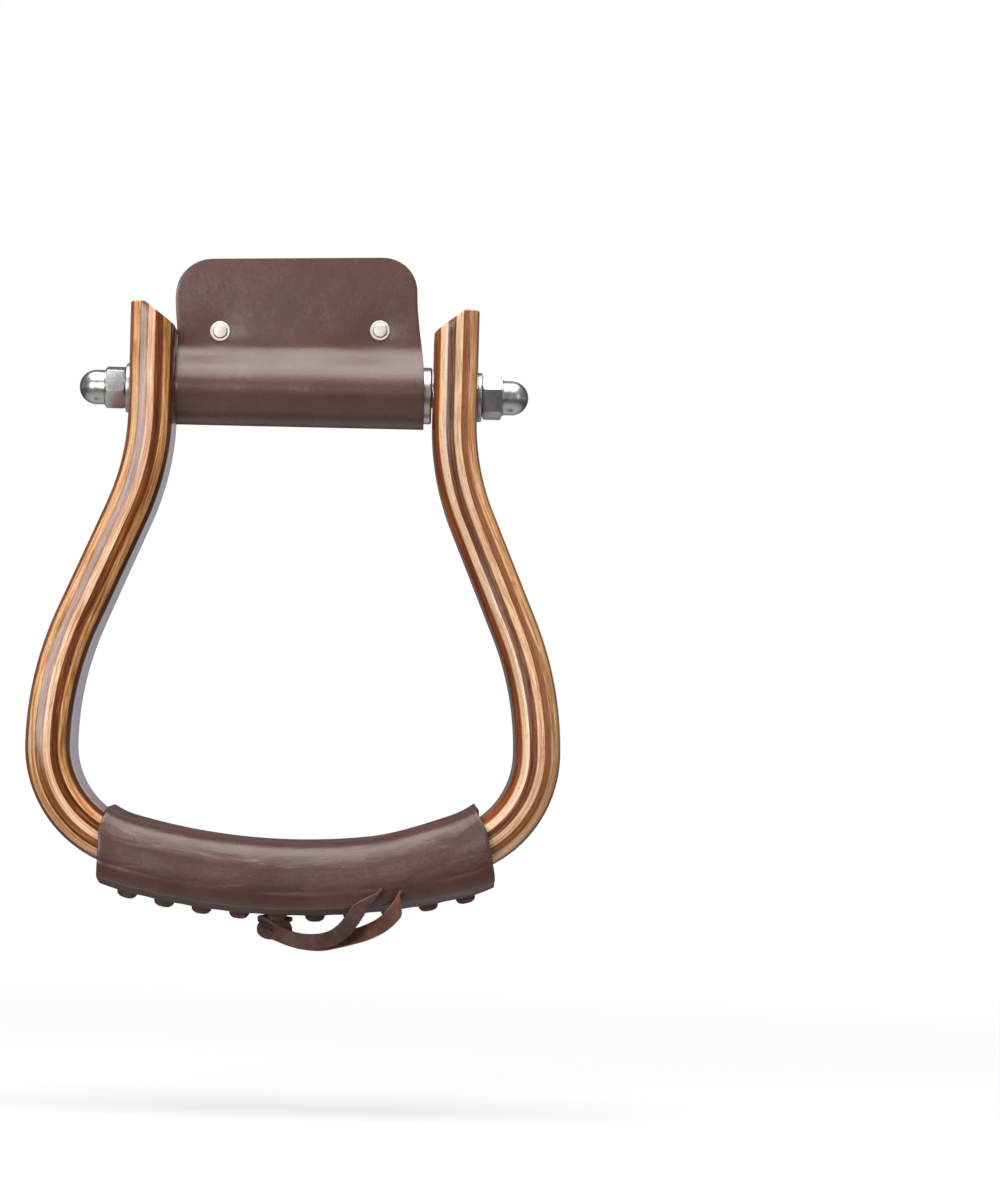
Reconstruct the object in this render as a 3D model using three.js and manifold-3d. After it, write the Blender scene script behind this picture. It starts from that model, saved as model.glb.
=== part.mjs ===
// A laminated wooden bell stirrup: seven bent plies, a bolt with a roller across the neck,
// a riveted leather keeper round the roller, and a leather covered tread laced underneath.
// Millimetres, +Z up, X across the stirrup, the front towards -Y.
// The origin is the middle of the bolt, on its axis.

import * as THREE from "three";
import { mergeVertices, toCreasedNormals } from "three/addons/utils/BufferGeometryUtils.js";
import Module from "manifold-3d";

// Gap between pieces that lie on each other without being fixed face to face.
const CLEARANCE = 0.3;
const OVERCUT = 5; // how far a cutter reaches past what it cuts

// Laminated frame. Thickness is counted outwards from the inner face.
const NECK_INNER_WIDTH = 86;
const VENEER_THICKNESS = 1.2;
const PLY_THICKNESS = 2.5;
const CORE_PLIES = 5;
const LEG_TOP = 27.7; // end of the legs above the bolt axis
const TOP_FLAT = 4.8; // level part of each leg's end, next to the outer face
const TOP_BEVEL = THREE.MathUtils.degToRad(37);
const TREAD_DROP = 167; // from the bolt axis down to the underside of the wood
const NECK_DROP = 8.5; // straight leg below the bolt axis
const NECK_BEND_RADIUS = 85;
const FLARE = THREE.MathUtils.degToRad(23);
const BELLY_RADIUS = 108;
const CORNER_RADIUS = 34;
const CORNER_BEND = THREE.MathUtils.degToRad(75);
const TOP_DEPTH = 40; // front to back, at the ends of the legs
const NECK_DEPTH = 38; // at the bolt
const TREAD_DEPTH = 50;
const WIDEN_START = -40; // heights between which the legs grow from neck to tread depth
const WIDEN_END = -130;
const EDGE_ROUND_DEPTH = 5.5; // rounding of the long edges, along Y
const EDGE_ROUND_THICKNESS = 4.5; // and through the plies

// Bolt, nuts, washers and roller.
const ROD_DIAMETER = 8;
const NUT_ACROSS_FLATS = 13;
const NUT_HEX_LENGTH = 6.8;
const NUT_BEVEL = 0.6; // length of the bevel on the corners of the hexagon
const NUT_DOME_LENGTH = 8.8;
const NUT_DOME_DIAMETER = 11.5;
const NUT_BORE_DEPTH = 11.5;
const LEFT_NUT_TURN = THREE.MathUtils.degToRad(25);
const RIGHT_NUT_TURN = THREE.MathUtils.degToRad(14);
const WASHER_DIAMETER = 16.5;
const WASHER_THICKNESS = 1.6;
const ROLLER_DIAMETER = 19;
const ROLLER_EDGE = 1.2;

// Leather keeper, a loop round the roller closed by two rivets.
const KEEPER_LEATHER = 2;
const KEEPER_SIDE_GAP = 1.6; // to each leg when centred
const KEEPER_SHIFT = -1.1; // slid along the roller towards the left leg
const KEEPER_TOP = 45;
const KEEPER_CORNER = 12;
const KEEPER_FILLET = 8; // where the flap runs into the loop
const RIVET_INSET = 14.7; // from each side of the keeper to its rivet
const RIVET_HEIGHT = 20.5;
const RIVET_HEAD_DIAMETER = 6.8;
const RIVET_HEAD_THICKNESS = 1.1;
const RIVET_SHANK_DIAMETER = 3.4;
const RIVET_PEEN_DIAMETER = 4.8;
const RIVET_PEEN_THICKNESS = 0.8;
const BURR_THICKNESS = 0.8;
const RIVET_CROWN = 0.6; // share of a rivet end that is flat

// Leather on the tread, lapped and laced underneath.
const TREAD_LEATHER = 2.2;
const TREAD_COVER_LENGTH = 124; // along X, at the top of the tread
const COVER_END_LEAN = THREE.MathUtils.degToRad(6);
const COVER_CORNER = 5; // inner radius round the edges of the wood
const SEAM_GAP = 2.6; // room for the lace between wood and leather at the seam
const SEAM_HALF_WIDTH = 12; // flat bottom of the trough
const BACK_FLAP_EDGE = -10; // Y of the hidden flap's edge
const FRONT_FLAP_EDGE = 1; // Y of the outer flap's edge

// Lace.
const LACE_WIDTH = 4.4;
const LACE_THICKNESS = 1.6;
const LACE_BEND = 1.6;
const STITCH_PITCH = 12.7;
const STITCH_SHIFT = 2; // the row of stitches sits a little to the right
const STITCH_MARGIN = 4; // least distance from a stitch to the cover's end
const FRONT_SLIT = -6.8; // Y of the slits
const BACK_SLIT = 8;
const SLIT_CLEARANCE = 0.45;
const LACE_END = 4; // lace tucked away beyond its last stitch
const KNOT_RING = 4.1; // mean radius of the knot's strand, seen from the front
const KNOT_SWELL = 1.8; // how far its three lobes and crossings swing round that radius
const KNOT_WEAVE = 2.2; // how far it swings front to back
const KNOT_SQUASH = 0.78; // height against width
const KNOT_STRAND = 2.6;
const KNOT_RIGHT = 3.5; // X of the knot's right side, where the tails come out
const KNOT_Y = -1.6;
const TAIL_TIP = 10; // length of the pointed end of a tail

// Number of flats on round pieces.
const ROUND = 24;
const ROLLER_ROUND = 32;
const SMALL_ROUND = 16;

// Derived sizes of the frame.
const CORE_THICKNESS = CORE_PLIES * PLY_THICKNESS;
const THICKNESS = CORE_THICKNESS + 2 * VENEER_THICKNESS;
const NECK_OUTER = NECK_INNER_WIDTH / 2 + THICKNESS;
const MID_X = NECK_INNER_WIDTH / 2 + THICKNESS / 2;

const wasm = await Module();
wasm.setup();

// Closed triangle mesh with its faces turned outwards.
function closedGeometry(points, triangles) {
  let volume = 0;
  for (const [a, b, c] of triangles) {
    volume += points[a].dot(points[b].clone().cross(points[c]));
  }
  const outward = volume > 0 ? triangles : triangles.map(([a, b, c]) => [a, c, b]);
  const geometry = new THREE.BufferGeometry().setFromPoints(points);
  geometry.setIndex(outward.flat());
  return geometry;
}

// Skin over a row of outlines with equal numbers of points, closed at both ends.
// capOutline is the flat form of the outline, used to triangulate the ends.
function loft(rings, capOutline) {
  const count = rings[0].length;
  const triangles = [];
  for (let i = 0; i + 1 < rings.length; i++) {
    for (let j = 0; j < count; j++) {
      const a = i * count + j;
      const b = i * count + ((j + 1) % count);
      triangles.push([a, b, a + count]);
      triangles.push([b, b + count, a + count]);
    }
  }
  const last = (rings.length - 1) * count;
  const clockwise = THREE.ShapeUtils.isClockWise(capOutline);
  for (const cap of THREE.ShapeUtils.triangulateShape(capOutline, [])) {
    const [a, b, c] = clockwise ? [...cap].reverse() : cap;
    triangles.push([a, c, b]);
    triangles.push([last + a, last + b, last + c]);
  }
  return closedGeometry(rings.flat(), triangles);
}

// Skin over a ring of outlines that closes on itself.
function loop(rings) {
  const count = rings[0].length;
  const triangles = [];
  rings.forEach((ring, i) => {
    const next = (i + 1) % rings.length;
    for (let j = 0; j < count; j++) {
      const k = (j + 1) % count;
      triangles.push([i * count + j, i * count + k, next * count + j]);
      triangles.push([i * count + k, next * count + k, next * count + j]);
    }
  });
  return closedGeometry(rings.flat(), triangles);
}

// Geometry whose corners in the same place are one vertex.
function weld(geometry) {
  const plain = geometry.clone();
  plain.deleteAttribute("normal");
  plain.deleteAttribute("uv");
  return mergeVertices(plain, 1e-4);
}

// Boolean solid of a closed geometry, and back.
function solidOf(geometry) {
  const merged = weld(geometry);
  return new wasm.Manifold(
    new wasm.Mesh({
      numProp: 3,
      vertProperties: new Float32Array(merged.attributes.position.array),
      triVerts: new Uint32Array(merged.index.array),
    }),
  );
}

function geometryOf(solid) {
  const mesh = solid.getMesh();
  const geometry = new THREE.BufferGeometry();
  geometry.setAttribute("position", new THREE.BufferAttribute(mesh.vertProperties, 3));
  geometry.setIndex(new THREE.BufferAttribute(mesh.triVerts, 1));
  return geometry;
}

function cut(geometry, cutters) {
  const solid = cutters.reduce((rest, cutter) => rest.subtract(solidOf(cutter)), solidOf(geometry));
  return geometryOf(solid);
}

// Prism with an outline of [x, z] points, from -reach to reach along Y.
function prismAlongY(points, reach) {
  const shape = new THREE.Shape(points.map(([x, z]) => new THREE.Vector2(x, z)));
  const prism = new THREE.ExtrudeGeometry(shape, { depth: 2 * reach, bevelEnabled: false });
  return prism.translate(0, 0, -reach).rotateX(Math.PI / 2);
}

// Cylinder along X from x0 to x1, or along Y from y0 to y1 at a given x and z.
function cylinderAlongX(radius, x0, x1) {
  const cylinder = new THREE.CylinderGeometry(radius, radius, x1 - x0, ROUND);
  return cylinder.rotateZ(Math.PI / 2).translate((x0 + x1) / 2, 0, 0);
}

function cylinderAlongY(radius, y0, y1, x, z) {
  const cylinder = new THREE.CylinderGeometry(radius, radius, y1 - y0, SMALL_ROUND);
  return cylinder.translate(x, (y0 + y1) / 2, z);
}

// Body turned about X. The profile holds [x, radius] points and closes on itself,
// or starts and ends on the axis.
function turnedAlongX(profile, flats) {
  const points = profile.map(([x, radius]) => new THREE.Vector2(radius, x));
  const turned = weld(new THREE.LatheGeometry(points, flats));
  const position = turned.attributes.position;
  const vertices = Array.from({ length: position.count }, (_, i) => {
    return new THREE.Vector3().fromBufferAttribute(position, i);
  });
  const index = Array.from(turned.index.array);
  const triangles = Array.from({ length: index.length / 3 }, (_, i) => index.slice(3 * i, 3 * i + 3));
  const whole = triangles.filter(([a, b, c]) => a !== b && b !== c && c !== a);
  return closedGeometry(vertices, whole).rotateZ(-Math.PI / 2);
}

// The bell's middle line, as stretches from the bottom of the tread up the right leg.
// Each has its length and its turn, counted anticlockwise from the front.
const TREAD_HALF_ANGLE = Math.PI / 2 - CORNER_BEND;
const FLARE_LENGTH = flareLength();
const TREAD_RADIUS = (treadEndX() + FLARE_LENGTH * Math.sin(FLARE)) / Math.sin(TREAD_HALF_ANGLE);
const STRETCHES = [
  { length: TREAD_RADIUS * TREAD_HALF_ANGLE, turn: TREAD_HALF_ANGLE, steps: 5 },
  { length: CORNER_RADIUS * CORNER_BEND, turn: CORNER_BEND, steps: 9 },
  { length: BELLY_RADIUS * FLARE, turn: FLARE, steps: 4 },
  { length: FLARE_LENGTH, turn: 0, steps: 3 },
  { length: NECK_BEND_RADIUS * FLARE, turn: -FLARE, steps: 4 },
  { length: NECK_DROP + LEG_TOP, turn: 0, steps: 2 },
];
const BOTTOM_Z = THICKNESS / 2 - TREAD_DROP;

// X where the tread meets the corner, if the flare had no straight stretch.
function treadEndX() {
  const corner = CORNER_RADIUS * (1 - Math.cos(CORNER_BEND));
  const inward = (BELLY_RADIUS + NECK_BEND_RADIUS) * (1 - Math.cos(FLARE));
  return MID_X - corner + inward;
}

// Straight stretch of the flare that gives the bell its height. It also widens the tread,
// whose arc then drops further, so both are counted.
function flareLength() {
  const dropPerWidth = Math.tan(TREAD_HALF_ANGLE / 2);
  const corner = CORNER_RADIUS * Math.cos(TREAD_HALF_ANGLE);
  const bends = (BELLY_RADIUS + NECK_BEND_RADIUS) * Math.sin(FLARE);
  const fixed = treadEndX() * dropPerWidth + corner + bends + NECK_DROP;
  const left = TREAD_DROP - THICKNESS / 2 - fixed;
  return left / (Math.sin(FLARE) * dropPerWidth + Math.cos(FLARE));
}

// Place on the middle line, s along it from the bottom, negative on the left:
// the point, the direction along it towards +X, and the outward direction.
function bellFrame(s) {
  let x = 0;
  let z = BOTTOM_Z;
  let heading = 0;
  let left = Math.abs(s);
  for (const { length, turn } of STRETCHES) {
    const part = Math.min(left, length);
    const angle = (turn * part) / length;
    const chord = turn === 0 ? part : (part * Math.sin(angle / 2)) / (angle / 2 || 1);
    x += (part > 0 ? chord : 0) * Math.cos(heading + angle / 2);
    z += (part > 0 ? chord : 0) * Math.sin(heading + angle / 2);
    heading += angle;
    left -= part;
    if (left <= 0) break;
  }
  const side = s < 0 ? -1 : 1;
  return {
    point: new THREE.Vector3(side * x, 0, z),
    along: new THREE.Vector3(Math.cos(heading), 0, side * Math.sin(heading)),
    outward: new THREE.Vector3(side * Math.sin(heading), 0, -Math.cos(heading)),
  };
}

// Point at s along the bell, y front to back, t through the wood from its inner face.
function onBell(s, y, t) {
  const frame = bellFrame(s);
  const place = frame.point.addScaledVector(frame.outward, t - THICKNESS / 2);
  return place.setY(y);
}

// Values of s at which the bell is sampled, over both legs.
function bellSteps() {
  const right = [0];
  let start = 0;
  for (const { length, steps } of STRETCHES) {
    for (let i = 1; i <= steps; i++) {
      right.push(start + (length * i) / steps);
    }
    start += length;
  }
  const left = right.slice(1).map((s) => -s).reverse();
  return [...left, ...right];
}

// Depth of the frame front to back at a height.
function depthAt(z) {
  const toTop = THREE.MathUtils.smoothstep(z, 0, LEG_TOP);
  const toTread = 1 - THREE.MathUtils.smoothstep(z, WIDEN_END, WIDEN_START);
  return NECK_DEPTH + (TOP_DEPTH - NECK_DEPTH) * toTop + (TREAD_DEPTH - NECK_DEPTH) * toTread;
}

// Half the depth of the wood at t through its thickness, with the long edges rounded.
function halfDepthAt(t, depth) {
  const inside = Math.min(t, THICKNESS - t, EDGE_ROUND_THICKNESS);
  const rise = 1 - inside / EDGE_ROUND_THICKNESS;
  return depth / 2 - EDGE_ROUND_DEPTH * (1 - Math.sqrt(1 - rise * rise));
}

// Steps through the thickness from t0 to t1, with extra ones where the edges are round.
function thicknessSteps(t0, t1) {
  const rounds = [30, 60, 90].map((angle) => {
    return EDGE_ROUND_THICKNESS * (1 - Math.cos(THREE.MathUtils.degToRad(angle)));
  });
  const all = rounds.flatMap((inside) => [inside, THICKNESS - inside]);
  const between = all.filter((t) => t > t0 + 0.1 && t < t1 - 0.1);
  return [t0, ...between.sort((a, b) => a - b), t1];
}

// What the ends of the legs lose to their bevels.
function topBevels() {
  const edge = NECK_OUTER - TOP_FLAT;
  const inner = NECK_INNER_WIDTH / 2 - OVERCUT;
  const slope = Math.tan(TOP_BEVEL);
  const outline = [
    [edge + OVERCUT / slope, LEG_TOP + OVERCUT],
    [inner, LEG_TOP + OVERCUT],
    [inner, LEG_TOP - (edge - inner) * slope],
  ];
  const mirrored = outline.map(([x, z]) => [-x, z]);
  return [prismAlongY(outline, TREAD_DEPTH), prismAlongY(mirrored, TREAD_DEPTH)];
}

// One ply from t0 to t1, bent along the bell, bevelled and drilled.
function ply(t0, t1) {
  const steps = thicknessSteps(t0, t1);
  const rings = bellSteps().map((s) => {
    const depth = depthAt(bellFrame(s).point.z);
    const front = steps.map((t) => onBell(s, -halfDepthAt(t, depth), t));
    const back = steps.map((t) => onBell(s, halfDepthAt(t, depth), t));
    return [...front, ...back.reverse()];
  });
  const outline = [
    ...steps.map((t) => new THREE.Vector2(t, -halfDepthAt(t, NECK_DEPTH))),
    ...steps.map((t) => new THREE.Vector2(t, halfDepthAt(t, NECK_DEPTH))).reverse(),
  ];
  const hole = cylinderAlongX(ROD_DIAMETER / 2 + CLEARANCE, -NECK_OUTER - OVERCUT, NECK_OUTER + OVERCUT);
  return cut(loft(rings, outline), [...topBevels(), hole]);
}

// Threaded rod with chamfered ends, held in the two acorn nuts.
const NUT_SEAT = NECK_OUTER + WASHER_THICKNESS;
const ROD_HALF = NUT_SEAT + NUT_BORE_DEPTH - CLEARANCE;

function threadedRod() {
  const radius = ROD_DIAMETER / 2;
  const chamfer = radius / 4;
  return turnedAlongX(
    [
      [-ROD_HALF, 0],
      [-ROD_HALF, radius - chamfer],
      [-ROD_HALF + chamfer, radius],
      [ROD_HALF - chamfer, radius],
      [ROD_HALF, radius - chamfer],
      [ROD_HALF, 0],
    ],
    ROUND,
  );
}

// Acorn nut on the right leg: a chamfered hexagon, a dome and a blind bore.
function acornNut(turn) {
  const corner = NUT_ACROSS_FLATS / Math.sqrt(3);
  const hex = new THREE.CylinderGeometry(corner, corner, NUT_HEX_LENGTH, 6)
    .rotateZ(Math.PI / 2)
    .translate(NUT_SEAT + NUT_HEX_LENGTH / 2, 0, 0)
    .rotateX(turn);
  const flat = NUT_ACROSS_FLATS / 2;
  const hexEnd = NUT_SEAT + NUT_HEX_LENGTH;
  const envelope = turnedAlongX(
    [
      [NUT_SEAT, 0],
      [NUT_SEAT, flat],
      [NUT_SEAT + NUT_BEVEL, corner],
      [hexEnd - NUT_BEVEL, corner],
      [hexEnd, flat],
      [hexEnd, 0],
    ],
    ROUND,
  );
  const radius = NUT_DOME_DIAMETER / 2;
  const domeStart = hexEnd + NUT_DOME_LENGTH - radius;
  const rise = arc([domeStart, 0], radius, 90, 0, 6).slice(0, -1);
  const inHex = NUT_SEAT + NUT_HEX_LENGTH / 2;
  const profile = [[inHex, 0], [inHex, radius], ...rise, [domeStart + radius, 0]];
  const bore = cylinderAlongX(
    ROD_DIAMETER / 2 + CLEARANCE,
    NUT_SEAT - OVERCUT,
    NUT_SEAT + NUT_BORE_DEPTH,
  );
  const body = solidOf(hex).intersect(solidOf(envelope)).add(solidOf(turnedAlongX(profile, ROUND)));
  return geometryOf(body.subtract(solidOf(bore)));
}

function washer() {
  const inner = ROD_DIAMETER / 2 + CLEARANCE;
  const outer = WASHER_DIAMETER / 2;
  const bevel = WASHER_THICKNESS / 5;
  const end = NECK_OUTER + WASHER_THICKNESS;
  return turnedAlongX(
    [
      [NECK_OUTER, inner],
      [NECK_OUTER, outer],
      [end - bevel, outer],
      [end, outer - bevel],
      [end, inner],
      [NECK_OUTER, inner],
    ],
    ROUND,
  );
}

// Thick walled roller that turns on the rod between the legs.
const ROLLER_HALF = NECK_INNER_WIDTH / 2 - CLEARANCE;

function roller() {
  const bore = ROD_DIAMETER / 2 + CLEARANCE;
  const radius = ROLLER_DIAMETER / 2;
  return turnedAlongX(
    [
      [-ROLLER_HALF, bore],
      [-ROLLER_HALF, radius - ROLLER_EDGE],
      [-ROLLER_HALF + ROLLER_EDGE, radius],
      [ROLLER_HALF - ROLLER_EDGE, radius],
      [ROLLER_HALF, radius - ROLLER_EDGE],
      [ROLLER_HALF, bore],
      [-ROLLER_HALF, bore],
    ],
    ROLLER_ROUND,
  );
}

// Outline of a band of even thickness along a line of [a, b] points.
function bandOutline(line, thickness) {
  const points = line.map(([a, b]) => new THREE.Vector2(a, b));
  const offsets = points.map((point, i) => {
    const before = points[Math.max(i - 1, 0)];
    const after = points[Math.min(i + 1, points.length - 1)];
    const arriving = point.clone().sub(i > 0 ? before : after);
    const leaving = after.clone().sub(i < points.length - 1 ? point : before);
    if (i === 0) arriving.negate();
    arriving.normalize();
    leaving.normalize();
    const middle = arriving.clone().add(leaving).normalize();
    const stretch = thickness / 2 / middle.dot(leaving);
    return new THREE.Vector2(-middle.y, middle.x).multiplyScalar(stretch);
  });
  const one = points.map((point, i) => point.clone().add(offsets[i]));
  const other = points.map((point, i) => point.clone().sub(offsets[i]));
  return [...one, ...other.reverse()];
}

// Points on an arc round [a, b], angles in degrees.
function arc(centre, radius, from, to, steps) {
  return Array.from({ length: steps + 1 }, (_, i) => {
    const angle = THREE.MathUtils.degToRad(from + ((to - from) * i) / steps);
    return [centre[0] + radius * Math.cos(angle), centre[1] + radius * Math.sin(angle)];
  });
}

// Keeper: both layers of the flap and the loop round the roller are one strip.
const LOOP_RADIUS = ROLLER_DIAMETER / 2 + CLEARANCE + KEEPER_LEATHER / 2;
const LAYER_Y = CLEARANCE / 2 + KEEPER_LEATHER / 2;
const FLAP_FACE = CLEARANCE / 2 + KEEPER_LEATHER;
const KEEPER_HALF = NECK_INNER_WIDTH / 2 - KEEPER_SIDE_GAP;

function keeperLine() {
  const across = LAYER_Y + KEEPER_FILLET;
  const reach = LOOP_RADIUS + KEEPER_FILLET;
  const filletZ = Math.sqrt(reach * reach - across * across);
  const meet = THREE.MathUtils.radToDeg(Math.atan2(filletZ, across));
  const front = [
    [-LAYER_Y, KEEPER_TOP],
    ...arc([-across, filletZ], KEEPER_FILLET, 0, -meet, 4),
  ];
  const round = arc([0, 0], LOOP_RADIUS, 180 - meet, 360 + meet, 20);
  const back = front.map(([y, z]) => [-y, z]).reverse();
  return [...front, ...round.slice(1, -1), ...back];
}

function rivetPlaces() {
  const reach = KEEPER_HALF - RIVET_INSET;
  return [KEEPER_SHIFT - reach, KEEPER_SHIFT + reach];
}

function keeper() {
  const outline = bandOutline(keeperLine(), KEEPER_LEATHER);
  const ends = [KEEPER_SHIFT - KEEPER_HALF, KEEPER_SHIFT + KEEPER_HALF];
  const rings = ends.map((x) => outline.map(({ x: y, y: z }) => new THREE.Vector3(x, y, z)));
  const strip = solidOf(loft(rings, outline));
  const low = -LOOP_RADIUS - KEEPER_LEATHER;
  const face = [
    [ends[0] - OVERCUT, low],
    [ends[1] + OVERCUT, low],
    [ends[1] + OVERCUT, 0],
    [ends[1], 0],
    ...arc([ends[1] - KEEPER_CORNER, KEEPER_TOP - KEEPER_CORNER], KEEPER_CORNER, 0, 90, 6),
    ...arc([ends[0] + KEEPER_CORNER, KEEPER_TOP - KEEPER_CORNER], KEEPER_CORNER, 90, 180, 6),
    [ends[0], 0],
    [ends[0] - OVERCUT, 0],
  ];
  const rounded = geometryOf(strip.intersect(solidOf(prismAlongY(face, 2 * LOOP_RADIUS))));
  const reach = FLAP_FACE + OVERCUT;
  const holes = rivetPlaces().map((x) => {
    return cylinderAlongY(RIVET_SHANK_DIAMETER / 2 + CLEARANCE, -reach, reach, x, RIVET_HEIGHT);
  });
  return cut(rounded, holes);
}

// Body turned about Y at a rivet: the profile holds [y, radius] points.
function turnedAtRivet(profile, x) {
  const body = turnedAlongX(profile, SMALL_ROUND);
  return body.rotateZ(Math.PI / 2).translate(x, 0, RIVET_HEIGHT);
}

// Rivet with its head behind and its peened end in front.
function rivet(x) {
  const head = RIVET_HEAD_DIAMETER / 2;
  const shank = RIVET_SHANK_DIAMETER / 2;
  const peen = RIVET_PEEN_DIAMETER / 2;
  const back = FLAP_FACE;
  const front = -FLAP_FACE - BURR_THICKNESS;
  return turnedAtRivet(
    [
      [front - RIVET_PEEN_THICKNESS, 0],
      [front - RIVET_PEEN_THICKNESS, peen * RIVET_CROWN],
      [front - RIVET_PEEN_THICKNESS / 3, peen],
      [front, peen],
      [front, shank],
      [back, shank],
      [back, head],
      [back + RIVET_HEAD_THICKNESS / 3, head],
      [back + RIVET_HEAD_THICKNESS, head * RIVET_CROWN],
      [back + RIVET_HEAD_THICKNESS, 0],
    ],
    x,
  );
}

function burr(x) {
  const hole = RIVET_SHANK_DIAMETER / 2 + CLEARANCE;
  const edge = RIVET_HEAD_DIAMETER / 2;
  const back = -FLAP_FACE;
  const front = back - BURR_THICKNESS;
  return turnedAtRivet(
    [
      [back, hole],
      [back, edge],
      [front + BURR_THICKNESS / 3, edge],
      [front, edge - BURR_THICKNESS / 2],
      [front, hole],
      [back, hole],
    ],
    x,
  );
}

// Levels under the tread, as t through the wood and beyond its outer face.
const BACK_FLAP_T = THICKNESS + SEAM_GAP;
const FRONT_FLAP_T = BACK_FLAP_T + TREAD_LEATHER + CLEARANCE;
const LACE_INSIDE_T = THICKNESS + SEAM_GAP / 2;
const LACE_ON_BACK_T = BACK_FLAP_T + TREAD_LEATHER + CLEARANCE + LACE_THICKNESS / 2;
const LACE_ON_FRONT_T = FRONT_FLAP_T + TREAD_LEATHER + CLEARANCE + LACE_THICKNESS / 2;
const LACE_LOWEST_T = LACE_ON_FRONT_T + LACE_THICKNESS / 2;

// Middle line of the cover's leather round the wood, as [y, t] points,
// from the hidden back flap over the top to the outer front flap.
function coverLine() {
  const half = TREAD_LEATHER / 2;
  const side = TREAD_DEPTH / 2 + CLEARANCE;
  const bend = COVER_CORNER + half;
  const inset = side - COVER_CORNER;
  const top = COVER_CORNER - CLEARANCE;
  const bottom = THICKNESS + CLEARANCE - COVER_CORNER;
  return [
    [BACK_FLAP_EDGE, BACK_FLAP_T + half],
    [SEAM_HALF_WIDTH, BACK_FLAP_T + half],
    ...arc([inset, bottom], bend, 80, 0, 3),
    ...arc([inset, top], bend, 0, -90, 3),
    ...arc([-inset, top], bend, -90, -180, 3),
    ...arc([-inset, bottom], bend, 180, 110, 3),
    [-SEAM_HALF_WIDTH, FRONT_FLAP_T + half],
    [FRONT_FLAP_EDGE, FRONT_FLAP_T + half],
  ];
}

// Where the stitches are along the bell, symmetric about the shift.
function stitches() {
  const room = TREAD_COVER_LENGTH / 2 - STITCH_MARGIN;
  const pairs = Math.floor(room / STITCH_PITCH + 0.5);
  const all = [];
  for (let i = -pairs; i < pairs; i++) {
    all.push(STITCH_SHIFT + (i + 0.5) * STITCH_PITCH);
  }
  return all;
}

// A slit through the leather at a stitch.
function slit(s, y) {
  const frame = bellFrame(s);
  const from = THICKNESS + SEAM_GAP / 2;
  const to = LACE_LOWEST_T + OVERCUT;
  const box = new THREE.BoxGeometry(
    LACE_WIDTH + 2 * SLIT_CLEARANCE,
    LACE_THICKNESS + 2 * SLIT_CLEARANCE,
    to - from,
  );
  const across = new THREE.Vector3().crossVectors(frame.outward, frame.along);
  const turned = new THREE.Matrix4().makeBasis(frame.along, across, frame.outward);
  turned.setPosition(onBell(s, y, (from + to) / 2));
  return box.applyMatrix4(turned);
}

// What the cover's ends lose: each end leans outwards towards the bottom.
function coverEnds() {
  const topZ = onBell(TREAD_COVER_LENGTH / 2, 0, -CLEARANCE - TREAD_LEATHER).z;
  const lean = Math.tan(COVER_END_LEAN);
  const high = 60;
  const low = -60;
  const far = TREAD_COVER_LENGTH;
  const outline = [
    [TREAD_COVER_LENGTH / 2 - high * lean, topZ + high],
    [TREAD_COVER_LENGTH / 2 - low * lean, topZ + low],
    [far, topZ + low],
    [far, topZ + high],
  ];
  const mirrored = outline.map(([x, z]) => [-x, z]);
  return [prismAlongY(outline, TREAD_DEPTH), prismAlongY(mirrored, TREAD_DEPTH)];
}

function treadCover() {
  const outline = bandOutline(coverLine(), TREAD_LEATHER);
  const reach = TREAD_COVER_LENGTH / 2 + THICKNESS;
  const inner = bellSteps().filter((s) => Math.abs(s) < reach - 1);
  const rings = [-reach, ...inner, reach].map((s) => outline.map(({ x: y, y: t }) => onBell(s, y, t)));
  const slits = stitches().flatMap((s) => [slit(s, FRONT_SLIT), slit(s, BACK_SLIT)]);
  return cut(loft(rings, outline), [...coverEnds(), ...slits]);
}

// Line through corner points with each corner rounded.
function roundedLine(corners, radius, steps) {
  const line = [corners[0]];
  for (let i = 1; i + 1 < corners.length; i++) {
    const corner = corners[i];
    const before = corners[i - 1].clone().sub(corner);
    const after = corners[i + 1].clone().sub(corner);
    const trim = Math.min(radius, before.length() * 0.45, after.length() * 0.45);
    const start = corner.clone().addScaledVector(before.normalize(), trim);
    const end = corner.clone().addScaledVector(after.normalize(), trim);
    line.push(...new THREE.QuadraticBezierCurve3(start, corner, end).getPoints(steps));
  }
  line.push(corners[corners.length - 1]);
  return line;
}

// Flat lace along a line of points, each with the direction of its width.
function ribbon(line, widthAt, widthOf) {
  const rings = line.map((point, i) => {
    const before = line[Math.max(i - 1, 0)];
    const after = line[Math.min(i + 1, line.length - 1)];
    const forward = after.clone().sub(before).normalize();
    const across = widthAt(i);
    const normal = new THREE.Vector3().crossVectors(across, forward).normalize();
    const half = widthOf(i) / 2;
    return [[-1, -1], [1, -1], [1, 1], [-1, 1]].map(([u, v]) => {
      const corner = point.clone().addScaledVector(across, u * half);
      return corner.addScaledVector(normal, (v * LACE_THICKNESS) / 2);
    });
  });
  const outline = [[-1, -1], [1, -1], [1, 1], [-1, 1]].map(([u, v]) => new THREE.Vector2(u, v));
  return loft(rings, outline);
}

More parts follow.
